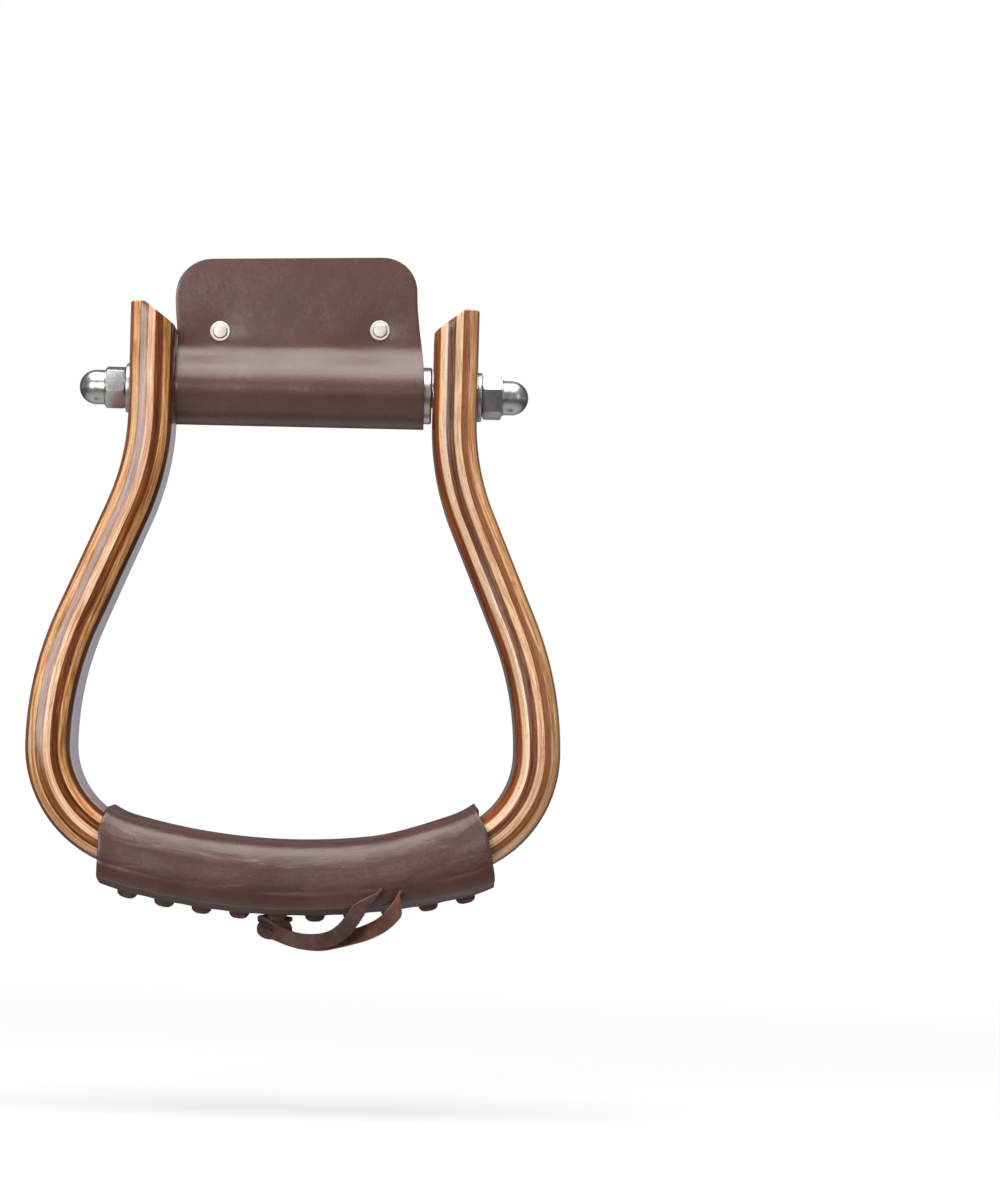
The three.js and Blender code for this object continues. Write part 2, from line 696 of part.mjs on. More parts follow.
// Whip stitches from one end of the seam towards the knot. Each crosses the seam outside
// from its entry slit to its exit slit, and the lace goes on inside to the next entry slit.
function whipLace(places, knot, frontFirst) {
  const entry = frontFirst ? FRONT_SLIT : BACK_SLIT;
  const exit = frontFirst ? BACK_SLIT : FRONT_SLIT;
  const towards = Math.sign(knot - places[0]);
  const over = [
    [FRONT_SLIT, LACE_ON_FRONT_T],
    [FRONT_FLAP_EDGE + LACE_THICKNESS / 2, LACE_ON_FRONT_T],
    [FRONT_FLAP_EDGE + 2 * LACE_THICKNESS, LACE_ON_BACK_T],
    [BACK_SLIT, LACE_ON_BACK_T],
  ];
  const outside = frontFirst ? over : [...over].reverse();
  const corners = [[places[0] - towards * LACE_END, exit, LACE_INSIDE_T]];
  for (const s of places) {
    corners.push([s, entry, LACE_INSIDE_T]);
    corners.push(...outside.map(([y, t]) => [s, y, t]));
    corners.push([s, exit, LACE_INSIDE_T]);
  }
  const outT = frontFirst ? LACE_ON_FRONT_T : LACE_ON_BACK_T;
  const endY = entry + Math.sign(exit - entry) * (LACE_BEND + LACE_THICKNESS);
  corners.push([knot, entry, LACE_INSIDE_T], [knot, entry, outT], [knot, endY, outT]);
  const line = roundedLine(corners.map(([s, y, t]) => new THREE.Vector3(s, y, t)), LACE_BEND, 3);
  const placed = line.map(({ x: s, y, z: t }) => onBell(s, y, t));
  return ribbon(placed, (i) => bellFrame(line[i].x).along, () => LACE_WIDTH);
}

// The two laces meet at the stitch just left of the middle.
const KNOT_S = STITCH_SHIFT - STITCH_PITCH / 2;
const KNOT_TOP = onBell(KNOT_S, 0, LACE_LOWEST_T).z - CLEARANCE;
const KNOT_REACH = KNOT_RING + KNOT_SWELL; // to the middle of the strand at a lobe
const KNOT_CENTRE = new THREE.Vector3(
  KNOT_RIGHT - KNOT_REACH - CLEARANCE,
  KNOT_Y,
  KNOT_TOP - (KNOT_SQUASH * KNOT_REACH * Math.sqrt(3)) / 2 - KNOT_STRAND / 2,
);

// An overhand knot drawn as a closed strand that passes over and under itself three times,
// with one lobe to the left and two to the right.
function knot() {
  const steps = 48;
  const sides = 6;
  const middle = Array.from({ length: steps }, (_, i) => {
    const turn = (i * 2 * Math.PI) / steps;
    const radius = KNOT_RING + KNOT_SWELL * Math.cos(3 * turn);
    const x = -radius * Math.cos(2 * turn);
    const y = KNOT_WEAVE * Math.sin(3 * turn);
    const z = KNOT_SQUASH * radius * Math.sin(2 * turn);
    return new THREE.Vector3(x, y, z).add(KNOT_CENTRE);
  });
  const rings = middle.map((point, i) => {
    const forward = middle[(i + 1) % steps].clone().sub(middle[(i + steps - 1) % steps]).normalize();
    const side = new THREE.Vector3(0, 1, 0).cross(forward).normalize();
    const normal = new THREE.Vector3().crossVectors(forward, side);
    return Array.from({ length: sides }, (_, j) => {
      const angle = (j * 2 * Math.PI) / sides;
      const ring = point.clone().addScaledVector(side, (KNOT_STRAND / 2) * Math.cos(angle));
      return ring.addScaledVector(normal, (KNOT_STRAND / 2) * Math.sin(angle));
    });
  });
  return loop(rings);
}

// Tails of the lace, as they leave the knot and curl up in front of the tread,
// in X, Y and Z from the knot's middle.
const FRONT_TAIL = [
  [6.45, -1.8, -2],
  [13.3, -7.4, -3.2],
  [17.9, -13.9, -1.2],
  [21.6, -19.4, 2.5],
  [25.1, -24, 7.4],
  [28.5, -26.5, 11.9],
  [33, -27.4, 17],
];
const REAR_TAIL = [
  [5.4, 2.1, -2.9],
  [14.7, -1.4, -4.3],
  [23.4, -8, -2.3],
  [29.5, -14.4, 1.3],
  [35.4, -21.4, 6.5],
  [38.9, -25.7, 11],
  [40.6, -27.4, 15.9],
];

// A tail's broad face looks forwards and it narrows to a point.
function tail(points) {
  const route = points.map(([x, y, z]) => new THREE.Vector3(x, y, z).add(KNOT_CENTRE));
  const curve = new THREE.CatmullRomCurve3(route);
  const steps = 18;
  const line = curve.getSpacedPoints(steps);
  const length = curve.getLength();
  const widthOf = (i) => {
    const left = length * (1 - i / steps);
    return Math.max(LACE_WIDTH * Math.min(left / TAIL_TIP, 1), LACE_THICKNESS / 4);
  };
  const widthAt = (i) => {
    const before = line[Math.max(i - 1, 0)];
    const after = line[Math.min(i + 1, steps)];
    const forward = after.clone().sub(before).normalize();
    return new THREE.Vector3(0, 1, 0).cross(forward).normalize();
  };
  return ribbon(line, widthAt, widthOf);
}

// Materials.
function finish(color, roughness, metalness) {
  return () => new THREE.MeshStandardMaterial({ color, roughness, metalness });
}
const rosewood = finish(0x6b3216, 0.25, 0);
const lightWood = finish(0xc98a4f, 0.3, 0);
const darkWood = finish(0x53301c, 0.3, 0);
const steel = finish(0xb9bcc0, 0.2, 1);
const nickel = finish(0xc9c5be, 0.3, 1);
const leather = finish(0x4a2f2a, 0.5, 0);
const laceLeather = finish(0x4f362d, 0.7, 0);

const stirrup = new THREE.Group();

function add(name, geometry, material, parent = stirrup) {
  const mesh = new THREE.Mesh(toCreasedNormals(geometry, THREE.MathUtils.degToRad(32)), material());
  mesh.name = name;
  parent.add(mesh);
  return mesh;
}

// The plies from the inner face outwards.
const PLY_NAMES = ["inner_light_ply", "inner_dark_ply", "middle_light_ply", "outer_dark_ply", "outer_light_ply"];
const frameGroup = new THREE.Group();
add("inner_face_veneer", ply(0, VENEER_THICKNESS), rosewood, frameGroup);
for (let i = 0; i < CORE_PLIES; i++) {
  const name = PLY_NAMES[i] ?? `extra_ply_${i}`;
  const start = VENEER_THICKNESS + i * PLY_THICKNESS;
  add(name, ply(start, start + PLY_THICKNESS), i % 2 ? darkWood : lightWood, frameGroup);
}
add("outer_face_veneer", ply(THICKNESS - VENEER_THICKNESS, THICKNESS), rosewood, frameGroup);
stirrup.add(frameGroup);

// The left nut and washer are the right ones turned about Z.
const hardware = new THREE.Group();
add("threaded_rod", threadedRod(), steel, hardware);
add("roller_sleeve", roller(), steel, hardware);
add("right_washer", washer(), steel, hardware);
add("right_acorn_nut", acornNut(RIGHT_NUT_TURN), steel, hardware);
const leftSide = new THREE.Group();
leftSide.rotation.z = Math.PI;
add("left_washer", washer(), steel, leftSide);
add("left_acorn_nut", acornNut(LEFT_NUT_TURN), steel, leftSide);
hardware.add(leftSide);
stirrup.add(hardware);

const keeperGroup = new THREE.Group();
add("leather_keeper", keeper(), leather, keeperGroup);
["left", "right"].forEach((side, i) => {
  const x = rivetPlaces()[i];
  add(`${side}_rivet`, rivet(x), nickel, keeperGroup);
  add(`${side}_rivet_burr`, burr(x), nickel, keeperGroup);
});
stirrup.add(keeperGroup);

const treadGroup = new THREE.Group();
const leftStitches = stitches().filter((s) => s < KNOT_S - STITCH_PITCH / 2);
const rightStitches = stitches().filter((s) => s > KNOT_S + STITCH_PITCH / 2).reverse();
add("tread_leather", treadCover(), leather, treadGroup);
add("left_lace", whipLace(leftStitches, KNOT_S, true), laceLeather, treadGroup);
add("right_lace", whipLace(rightStitches, KNOT_S, false), laceLeather, treadGroup);
add("lace_knot", knot(), laceLeather, treadGroup);
add("front_lace_tail", tail(FRONT_TAIL), laceLeather, treadGroup);
add("rear_lace_tail", tail(REAR_TAIL), laceLeather, treadGroup);
stirrup.add(treadGroup);

export default stirrup;
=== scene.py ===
"""Looks of a laminated wooden bell stirrup with a riveted leather keeper and a laced leather tread.

Sizes are in millimetres, as in the solids, and become metres when a mesh is made.
+Z is up, X runs across the stirrup and the front is towards -Y. The origin is on the bolt's axis.
"""

import math
from contextlib import contextmanager

import bmesh
import bpy
import numpy as np
from mathutils import Matrix, Vector


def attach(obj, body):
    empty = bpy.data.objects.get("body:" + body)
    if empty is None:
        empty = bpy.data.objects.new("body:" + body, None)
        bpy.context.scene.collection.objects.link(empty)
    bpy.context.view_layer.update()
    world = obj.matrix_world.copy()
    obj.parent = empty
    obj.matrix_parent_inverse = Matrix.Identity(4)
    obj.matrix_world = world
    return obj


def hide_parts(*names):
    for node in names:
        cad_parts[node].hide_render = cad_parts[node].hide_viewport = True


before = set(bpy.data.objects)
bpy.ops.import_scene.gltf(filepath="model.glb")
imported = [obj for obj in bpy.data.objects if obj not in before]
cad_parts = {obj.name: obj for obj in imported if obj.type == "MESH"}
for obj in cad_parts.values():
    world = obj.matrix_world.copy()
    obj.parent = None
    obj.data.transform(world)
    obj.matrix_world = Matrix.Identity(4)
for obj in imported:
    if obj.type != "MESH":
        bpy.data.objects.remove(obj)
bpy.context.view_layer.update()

MM = 0.001
CLEARANCE = 0.3

# Laminated frame. Thickness is counted outwards from the inner face.
NECK_INNER_WIDTH = 86
VENEER_THICKNESS = 1.2
PLY_THICKNESS = 2.5
CORE_PLIES = 5
LEG_TOP = 27.7
TOP_FLAT = 4.8
TOP_BEVEL = math.radians(37)
TREAD_DROP = 167
NECK_DROP = 8.5
NECK_BEND_RADIUS = 85
FLARE = math.radians(23)
BELLY_RADIUS = 108
CORNER_RADIUS = 34
CORNER_BEND = math.radians(75)
TOP_DEPTH = 40
NECK_DEPTH = 38
TREAD_DEPTH = 50
WIDEN_START = -40
WIDEN_END = -130
EDGE_ROUND_DEPTH = 5.5
EDGE_ROUND_THICKNESS = 4.5
END_ROUND = 0.7  # sanded edge round the ends of the legs
CROWN = 1.3  # how far the sanded edges fall away from the middle of the wood

# Bolt, nuts, washers and roller.
ROD_DIAMETER = 8
NUT_ACROSS_FLATS = 13
NUT_HEX_LENGTH = 6.8
NUT_BEVEL = 0.6
NUT_DOME_LENGTH = 8.8
NUT_DOME_DIAMETER = 11.5
LEFT_NUT_TURN = math.radians(47.5)
RIGHT_NUT_TURN = math.radians(42)
WASHER_DIAMETER = 16.5
WASHER_THICKNESS = 1.6
WASHER_LIFT = 0.02  # its back stays clear of the wood
ROLLER_DIAMETER = 19
ROLLER_EDGE = 0.7
TUBE_WALL = 1.6

# Leather keeper.
KEEPER_LEATHER = 1.8
CUT_EDGE = 0.35  # bevel on the cut edges of keeper and cover
KEEPER_SIDE_GAP = 1.6
KEEPER_SHIFT = -1.1
KEEPER_LEFT = -42.75  # its sides beside the roller
KEEPER_RIGHT = 40.2
KEEPER_LEAN_LEFT = -1.0  # how far each side has moved at the top
KEEPER_LEAN_RIGHT = -3.2
KEEPER_SKEW = 0.034  # the flap sits a little crooked on the roller
KEEPER_TOP = 45
KEEPER_CORNER = 12
KEEPER_FILLET = 11
KEEPER_SLOPE = math.radians(45)  # steepest lean of the leather between loop and flap
KEEPER_SLACK = 0.6  # how far the flap stands out between its rivets
KEEPER_DIMPLE = 6.5  # width of the dip round each rivet
KEEPER_RIDGE = 0.22  # height of a soft ridge across the loop
RIVET_INSET = 14.7
RIVET_HEIGHT = 20.5
RIVET_HEAD_DIAMETER = 6.8
RIVET_HEAD_THICKNESS = 1.1
RIVET_LEAN = -0.8  # both rivets sit this far to the side
RIVET_SHANK_DIAMETER = 3.4
RIVET_PEEN_DIAMETER = 4.8
RIVET_PEEN_THICKNESS = 0.8
BURR_THICKNESS = 0.8

# Leather on the tread.
TREAD_LEATHER = 2.2
TREAD_COVER_LENGTH = 124
COVER_LEFT_END = (62.6, math.radians(1.2))  # X of its top corner, and its lean below that
COVER_RIGHT_END = (64.5, math.radians(9))
COVER_LEAN_DROP = 18
COVER_CORNER = 1.6  # the cut end is rounded off at the top
COVER_BRIDGE = 2.6  # stiff leather stands off the wood's corner at the right
COVER_SLACK = 3.1  # how far its middle stands before the wood
STITCH_DIP = 0.35  # how far each stitch pulls it in
SEAM_GAP = 2.6
SEAM_HALF_WIDTH = 12
BACK_FLAP_EDGE = -10
FRONT_FLAP_EDGE = 1

# Lace, knot and tails.
LACE_WIDTH = 6.6
LACE_THICKNESS = 2.3
LACE_SLACK = 0.1  # stands off the leather where it crosses it
TAIL_WIDTH = 5.1
TAIL_THICKNESS = 1.6
TAIL_EDGE = 0.42
TAIL_POINT = 1.0  # width left at the very tip
LACE_BEND = 1.6
STITCH_PITCH = 11.8
STITCH_SHIFT = 2
STITCH_MARGIN = 4
FRONT_SLIT = -6.8
BACK_SLIT = 8
LACE_END = 1.5
KNOT_RING = 4.1  # ring, swell, squash and strand of the solid knot, which give its middle
KNOT_SWELL = 1.8
KNOT_SQUASH = 0.78
KNOT_STRAND = 2.6
KNOT_RIGHT = 3.5  # X of the solid knot's right side
KNOT_Y = -1.6
KNOT_PULL = (-2.2, -0.4, 3.3)  # from there to the middle of the shown knot, drawn tight against the cover
KNOT_WRAP = 2.5  # its strap winds this far from the middle, give or take the swell
KNOT_WRAP_SWELL = 0.9
KNOT_SPREAD = 3.7  # and this far to each side
KNOT_PHASE = math.radians(25)
STRAP_EDGE = 0.6
STRAP_WIDTH = 4.4
STRAP_THICKNESS = 1.75
FRONT_TAIL_TIP = 11  # length of the slanting cut at each end
REAR_TAIL_TIP = 8

# Derived sizes, as in the solids.
THICKNESS = CORE_PLIES * PLY_THICKNESS + 2 * VENEER_THICKNESS
NECK_OUTER = NECK_INNER_WIDTH / 2 + THICKNESS
MID_X = NECK_INNER_WIDTH / 2 + THICKNESS / 2
TREAD_HALF_ANGLE = math.pi / 2 - CORNER_BEND
BOTTOM_Z = THICKNESS / 2 - TREAD_DROP


def tread_end_x():
    """X at which the tread's arc meets the corner's."""
    corner = CORNER_RADIUS * (1 - math.cos(CORNER_BEND))
    inward = (BELLY_RADIUS + NECK_BEND_RADIUS) * (1 - math.cos(FLARE))
    return MID_X - corner + inward


def flare_length():
    """Length of the straight part of each leg, which makes the bell as high as it should be."""
    drop_per_width = math.tan(TREAD_HALF_ANGLE / 2)
    corner = CORNER_RADIUS * math.cos(TREAD_HALF_ANGLE)
    bends = (BELLY_RADIUS + NECK_BEND_RADIUS) * math.sin(FLARE)
    fixed = tread_end_x() * drop_per_width + corner + bends + NECK_DROP
    left = TREAD_DROP - THICKNESS / 2 - fixed
    return left / (math.sin(FLARE) * drop_per_width + math.cos(FLARE))


FLARE_LENGTH = flare_length()
TREAD_RADIUS = (tread_end_x() + FLARE_LENGTH * math.sin(FLARE)) / math.sin(TREAD_HALF_ANGLE)

# The bell's middle line from the bottom of the tread up the right leg: length and turn.
STRETCHES = [
    (TREAD_RADIUS * TREAD_HALF_ANGLE, TREAD_HALF_ANGLE),
    (CORNER_RADIUS * CORNER_BEND, CORNER_BEND),
    (BELLY_RADIUS * FLARE, FLARE),
    (FLARE_LENGTH, 0.0),
    (NECK_BEND_RADIUS * FLARE, -FLARE),
    (NECK_DROP + LEG_TOP, 0.0),
]
BENT_LENGTH = sum(length for length, _ in STRETCHES[:-1])


def bell_frame(s):
    """Point on the bell's middle line, s along it from the bottom, and directions along and outwards."""
    x, z, heading, left = 0.0, BOTTOM_Z, 0.0, abs(s)
    for length, turn in STRETCHES:
        part = min(left, length)
        angle = turn * part / length
        chord = part * math.sin(angle / 2) / (angle / 2) if abs(angle) > 1e-9 else part
        x += chord * math.cos(heading + angle / 2)
        z += chord * math.sin(heading + angle / 2)
        heading += angle
        left -= part
        if left <= 0:
            break
    side = -1 if s < 0 else 1
    point = (side * x, z)
    along = (math.cos(heading), side * math.sin(heading))
    out = (side * math.sin(heading), -math.cos(heading))
    return point, along, out


def on_bell(s, y, t):
    """Point that lies s along the bell, y back and t outwards from the inner face."""
    point, _, out = bell_frame(s)
    reach = t - THICKNESS / 2
    return (point[0] + out[0] * reach, y, point[1] + out[1] * reach)


def s_at(z):
    """Length along the middle line from the bottom up to height z."""
    low, high = 0.0, BENT_LENGTH + NECK_DROP + LEG_TOP
    for _ in range(30):
        middle = (low + high) / 2
        low, high = (middle, high) if bell_frame(middle)[0][1] < z else (low, middle)
    return low


def smoothstep(value, low, high):
    f = min(max((value - low) / (high - low), 0), 1)
    return f * f * (3 - 2 * f)


def plateau(value, start, full, fade, end):
    """Rises from 0 at start to 1 at full, and falls back to 0 from fade to end."""
    return smoothstep(value, start, full) * (1 - smoothstep(value, fade, end))


def hump(offset, width):
    """1 where the offset is 0, falling away like a bell to both sides."""
    return math.exp(-((offset / width) ** 2))


def quarter_round(rise):
    """How far a rounded corner falls away, from 0 where it starts to 1 at its end."""
    return 1 - math.sqrt(max(1 - rise * rise, 0))


def depth_at(z):
    """Front to back depth of the wood at height z."""
    to_top = smoothstep(z, 0, LEG_TOP)
    to_tread = 1 - smoothstep(z, WIDEN_END, WIDEN_START)
    return NECK_DEPTH + (TOP_DEPTH - NECK_DEPTH) * to_top + (TREAD_DEPTH - NECK_DEPTH) * to_tread


def half_depth_at(t, depth):
    """Half depth of the wood at t, where its front and back edges are rounded and crowned."""
    inside = min(t, THICKNESS - t, EDGE_ROUND_THICKNESS)
    rise = 1 - inside / EDGE_ROUND_THICKNESS
    fall = CROWN * (2 * t / THICKNESS - 1) ** 2
    return depth / 2 - fall - EDGE_ROUND_DEPTH * quarter_round(rise)


# Meshes.
def filled(made, **values):
    """Sets several properties of one thing."""
    for key, value in values.items():
        setattr(made, key, value)
    return made


def make_object(name, verts, faces, coords=None, attribute="grain", sharp=32):
    """Object from points in millimetres. coords gives each vertex its place on the flat material."""
    mesh = bpy.data.meshes.new(name)
    mesh.from_pydata([tuple(c * MM for c in v) for v in verts], [], faces)
    if coords is not None:
        layer = mesh.attributes.new(attribute, "FLOAT_VECTOR", "POINT")
        layer.data.foreach_set("vector", np.array(coords, dtype=np.float32).ravel())
    obj = bpy.data.objects.new(name, mesh)
    bpy.context.collection.objects.link(obj)
    outward(obj)
    smooth(obj, sharp)
    return obj


@contextmanager
def edited(obj):
    """The object's mesh to work on, written back afterwards."""
    work = bmesh.new()
    work.from_mesh(obj.data)
    yield work
    work.to_mesh(obj.data)
    work.free()


def outward(obj):
    """Turns the faces so that they look outwards."""
    with edited(obj) as work:
        bmesh.ops.recalc_face_normals(work, faces=work.faces)


def smooth(obj, sharp):
    """Smooth shading, apart from edges sharper than so many degrees."""
    obj.data.shade_smooth()
    obj.data.set_sharp_from_angle(angle=math.radians(sharp))


def applied(obj, sharp):
    """Applies the object's modifiers to its mesh."""
    graph = bpy.context.evaluated_depsgraph_get()
    made = bpy.data.meshes.new_from_object(obj.evaluated_get(graph), depsgraph=graph)
    old = obj.data
    obj.modifiers.clear()
    obj.data = made
    bpy.data.meshes.remove(old)
    smooth(obj, sharp)


def bevelled(obj, width, angle, sharp):
    """Applies the object's modifiers, and after them a bevel on edges sharper than the angle."""
    bevel = obj.modifiers.new("edge", "BEVEL")
    filled(bevel, width=width * MM, segments=2, limit_method="ANGLE", angle_limit=math.radians(angle))
    applied(obj, sharp)


def thickened(obj, thickness, edge):
    """Gives a sheet its thickness: grain side in slot 0, cut edges in slot 1, flesh side in slot 2."""
    solid = obj.modifiers.new("leather", "SOLIDIFY")
    filled(solid, thickness=thickness * MM, offset=0, use_even_offset=True)
    filled(solid, material_offset=2, material_offset_rim=1)
    bevelled(obj, edge, 50, 40)


def joined_mesh(obj, other):
    """Moves the other object's mesh into the first one's."""
    with edited(obj) as work:
        work.from_mesh(other.data)
    bpy.data.objects.remove(other)
    smooth(obj, 28)


def skin(rows, count, closed=True, looped=False):
    """Faces between rows of count points, which are closed rings or not. looped joins both end rows."""
    faces = []
    for i in range(rows if looped else rows - 1):
        for j in range(count if closed else count - 1):
            here, there = i * count, (i + 1) % rows * count
            k = (j + 1) % count
            faces.append((here + j, here + k, there + k, there + j))
    return faces


def lathe(name, profile, axis, centre=(0, 0, 0), segments=96, sharp=32):
    """Body turned about X or Y from [along, radius] points. Points on the axis become one vertex."""
    verts, rows = [], []
    for along, radius in profile:
        count = 1 if radius < 1e-6 else segments
        rows.append((len(verts), count))
        for i in range(count):
            angle = 2 * math.pi * i / segments
            a, b = radius * math.cos(angle), radius * math.sin(angle)
            x, y, z = (along, a, b) if axis == "X" else (a, along, b)
            verts.append((x + centre[0], y + centre[1], z + centre[2]))
    faces = []
    for (first, n), (second, m) in zip(rows, rows[1:]):
        for i in range(segments):
            j = (i + 1) % segments
            if n == 1 and m > 1:
                faces.append((first, second + i, second + j))
            elif m == 1 and n > 1:
                faces.append((first + i, second, first + j))
            elif n > 1:
                faces.append((first + i, second + i, second + j, first + j))
    obj = make_object(name, verts, faces, sharp=sharp)
    if profile[0] == profile[-1]:
        with edited(obj) as work:
            bmesh.ops.remove_doubles(work, verts=work.verts, dist=1e-7)
        outward(obj)
        smooth(obj, sharp)
    return obj


# Lines of points.
def arc(centre, radius, start, end, steps):
    """Points on an arc, angles in degrees."""
    angles = np.radians(np.linspace(start, end, steps + 1))
    return [(centre[0] + radius * math.cos(a), centre[1] + radius * math.sin(a)) for a in angles]


def resampled(line, step):
    """Line of [a, b] points with extra points on its long straight pieces."""
    points = [line[0]]
    for before, after in zip(line, line[1:]):
        gap = math.dist(before, after)
        count = max(1, round(gap / step))
        for i in range(1, count + 1):
            f = i / count
            points.append(tuple(a + (b - a) * f for a, b in zip(before, after)))
    return points


def running(line):
    """Length along a line up to each of its points."""
    total = [0.0]
    for before, after in zip(line, line[1:]):
        total.append(total[-1] + math.dist(before, after))
    return total


def forward_at(line, i):
    """Direction of a line at point i, from the point before to the point after."""
    before, after = line[max(i - 1, 0)], line[min(i + 1, len(line) - 1)]
    return (Vector(after) - Vector(before)).normalized()


def normal_at(line, i):
    """Direction square to a flat line at point i."""
    a, b = forward_at(line, i)
    return b, -a


def between(p, q, t, low, high):
    """Point on the way from p at low to q at high."""
    return p * ((high - t) / (high - low)) + q * ((t - low) / (high - low))


def curve_through(points, per_piece=10):
    """Centripetal Catmull-Rom curve through the points."""
    ends = [points[0] * 2 - points[1], *points, points[-1] * 2 - points[-2]]
    line = []
    for a, b, c, d in zip(ends, ends[1:], ends[2:], ends[3:]):
        t1 = math.sqrt((b - a).length)
        t2 = t1 + math.sqrt((c - b).length)
        t3 = t2 + math.sqrt((d - c).length)
        for i in range(per_piece):
            t = t1 + (t2 - t1) * i / per_piece
            ab, bc, cd = between(a, b, t, 0, t1), between(b, c, t, t1, t2), between(c, d, t, t2, t3)
            line.append(between(between(ab, bc, t, 0, t2), between(bc, cd, t, t1, t3), t, t1, t2))
    line.append(points[-1])
    return line


# Materials.
RIGHT_LEG = (25.0, 60.0)  # s over which the looks of the right leg set in
BAND_SHIFT = 1.0  # how much farther out the bands of the plies lie on the right leg


def linear(colour):
    """Linear colour of a grey number or of 8-bit display values (r, g, b). Others stay as they are."""
    if isinstance(colour, float):
        return (colour, colour, colour, 1)
    if isinstance(colour, tuple) and len(colour) == 3:
        shares = [channel / 255 for channel in colour]
        return (*(c / 12.92 if c <= 0.04045 else ((c + 0.055) / 1.055) ** 2.4 for c in shares), 1)
    return colour


class Nodes:
    """A node tree that is filled in step by step."""

    def __init__(self, tree):
        self.tree = tree

    def put(self, value, socket):
        """Links an output to a socket, or sets the socket to a plain value."""
        if isinstance(value, bpy.types.NodeSocket):
            self.tree.links.new(value, socket)
        else:
            socket.default_value = value

    def add(self, kind, inputs=(), output=0, **settings):
        """Adds a node, with its inputs by name or number. Gives one of its outputs, or all for None."""
        made = filled(self.tree.nodes.new(kind), **settings)
        for key, value in dict(inputs).items():
            self.put(value, made.inputs[key])
        return made.outputs if output is None else made.outputs[output]

    def place(self, name, output="Vector"):
        return self.add("ShaderNodeAttribute", output=output, attribute_name=name)

    def own(self, output="Object"):
        return self.add("ShaderNodeTexCoord", output=output)

    def eye(self):
        """1 for rays from the camera, also through glass."""
        rays = self.add("ShaderNodeLightPath", output=None)
        return self.maths("MAXIMUM", rays["Is Camera Ray"], rays["Is Transmission Ray"])

    def scaled(self, place, scale, shift=(0, 0, 0)):
        return self.add("ShaderNodeMapping", {"Vector": place, "Scale": scale, "Location": shift})

    def noise(self, place, scale, detail, roughness=0.5, distortion=0.0, shift=(0, 0, 0)):
        values = {"Scale": 1.0, "Detail": detail, "Roughness": roughness, "Distortion": distortion}
        values["Vector"] = self.scaled(place, scale, shift)
        return self.add("ShaderNodeTexNoise", values, "Fac")

    def cells(self, place, scale):
        """Distance to the edges of small cells."""
        values = {"Scale": 1.0, "Vector": self.scaled(place, scale)}
        return self.add("ShaderNodeTexVoronoi", values, "Distance", feature="DISTANCE_TO_EDGE")

    def ramp(self, fac, stops):
        """Colours or greys at places from 0 to 1, with even changes between them."""
        made = self.tree.nodes.new("ShaderNodeValToRGB")
        elements = made.color_ramp.elements
        while len(elements) < len(stops):
            elements.new(0.5)
        for element, (position, colour) in zip(elements, stops):
            element.position = position
            element.color = linear(colour)
        self.put(fac, made.inputs["Fac"])
        return made.outputs["Color"]

    def mix(self, fac, a, b, mode="MIX"):
        colours = {0: fac, 6: linear(a), 7: linear(b)}
        return self.add("ShaderNodeMix", colours, 2, data_type="RGBA", blend_type=mode)

    def shaded(self, body, fac, *stops):
        """Body made darker or lighter from stop to stop."""
        return self.mix(1.0, body, self.ramp(fac, stops), "MULTIPLY")

    def over(self, body, mask, share, colour):
        """Body with a share of another colour where the mask is 1."""
        return self.mix(self.times(mask, share), body, colour)

    def maths(self, operation, a, b=0.0):
        return self.add("ShaderNodeMath", {0: a, 1: b}, operation=operation)

    def plus(self, a, b):
        return self.maths("ADD", a, b)

    def minus(self, a, b):
        return self.maths("SUBTRACT", a, b)

    def times(self, a, b):
        return self.maths("MULTIPLY", a, b)

    def hill(self, *offsets):
        """1 where all offsets are 0, falling away like a bell on every side."""
        away = self.times(offsets[0], offsets[0])
        for offset in offsets[1:]:
            away = self.plus(away, self.times(offset, offset))
        return self.maths("EXPONENT", self.times(away, -1.0))

    def parts(self, vector):
        return self.add("ShaderNodeSeparateXYZ", {0: vector}, None)

    def joined(self, *parts):
        return self.add("ShaderNodeCombineXYZ", enumerate(parts))

    def range(self, value, low, high, to_low=0.0, to_high=1.0):
        """Smooth change from to_low to to_high as the value goes from low to high."""
        values = {"Value": value, "From Min": low, "From Max": high, "To Min": to_low, "To Max": to_high}
        return self.add("ShaderNodeMapRange", values, "Result", interpolation_type="SMOOTHSTEP")


class Shader(Nodes):
    """A material on one principled shader."""

    def __init__(self, name):
        self.material = bpy.data.materials.new(name)
        self.material.use_nodes = True
        super().__init__(self.material.node_tree)
        self.bsdf = self.tree.nodes["Principled BSDF"]

    def set(self, **values):
        """Links or sets inputs. A plain value set before a link stays under it for the export."""
        for key, value in values.items():
            self.put(value, self.bsdf.inputs[key.replace("_", " ")])

    def bump(self, *layers, socket="Normal"):
        """Each layer is (height, strength, distance in millimetres)."""
        normal = None
        for height, strength, distance in layers:
            values = {"Height": height, "Strength": strength, "Distance": distance * MM}
            if normal is not None:
                values["Normal"] = normal
            normal = self.add("ShaderNodeBump", values)
        self.put(normal, self.bsdf.inputs[socket])


def varnished(shader, coat_roughness=0.2, coat_ior=1.6):
    """Varnish over wood: a clear coat with slow waves, through which the grain stands a little."""
    shader.set(Coat_Weight=1.0, Coat_Roughness=coat_roughness, Coat_IOR=coat_ior)
    shader.set(Roughness=0.6, Specular_IOR_Level=0.0)
    place = shader.place("grain")
    waves = shader.noise(place, (0.05, 0.16, 0.16), 2, 0.4)
    lines = shader.noise(place, (0.03, 0.8, 1.3), 4, 0.65)
    shader.bump((waves, 0.6, 0.45), (lines, 0.5, 0.12), socket="Coat Normal")
    return place


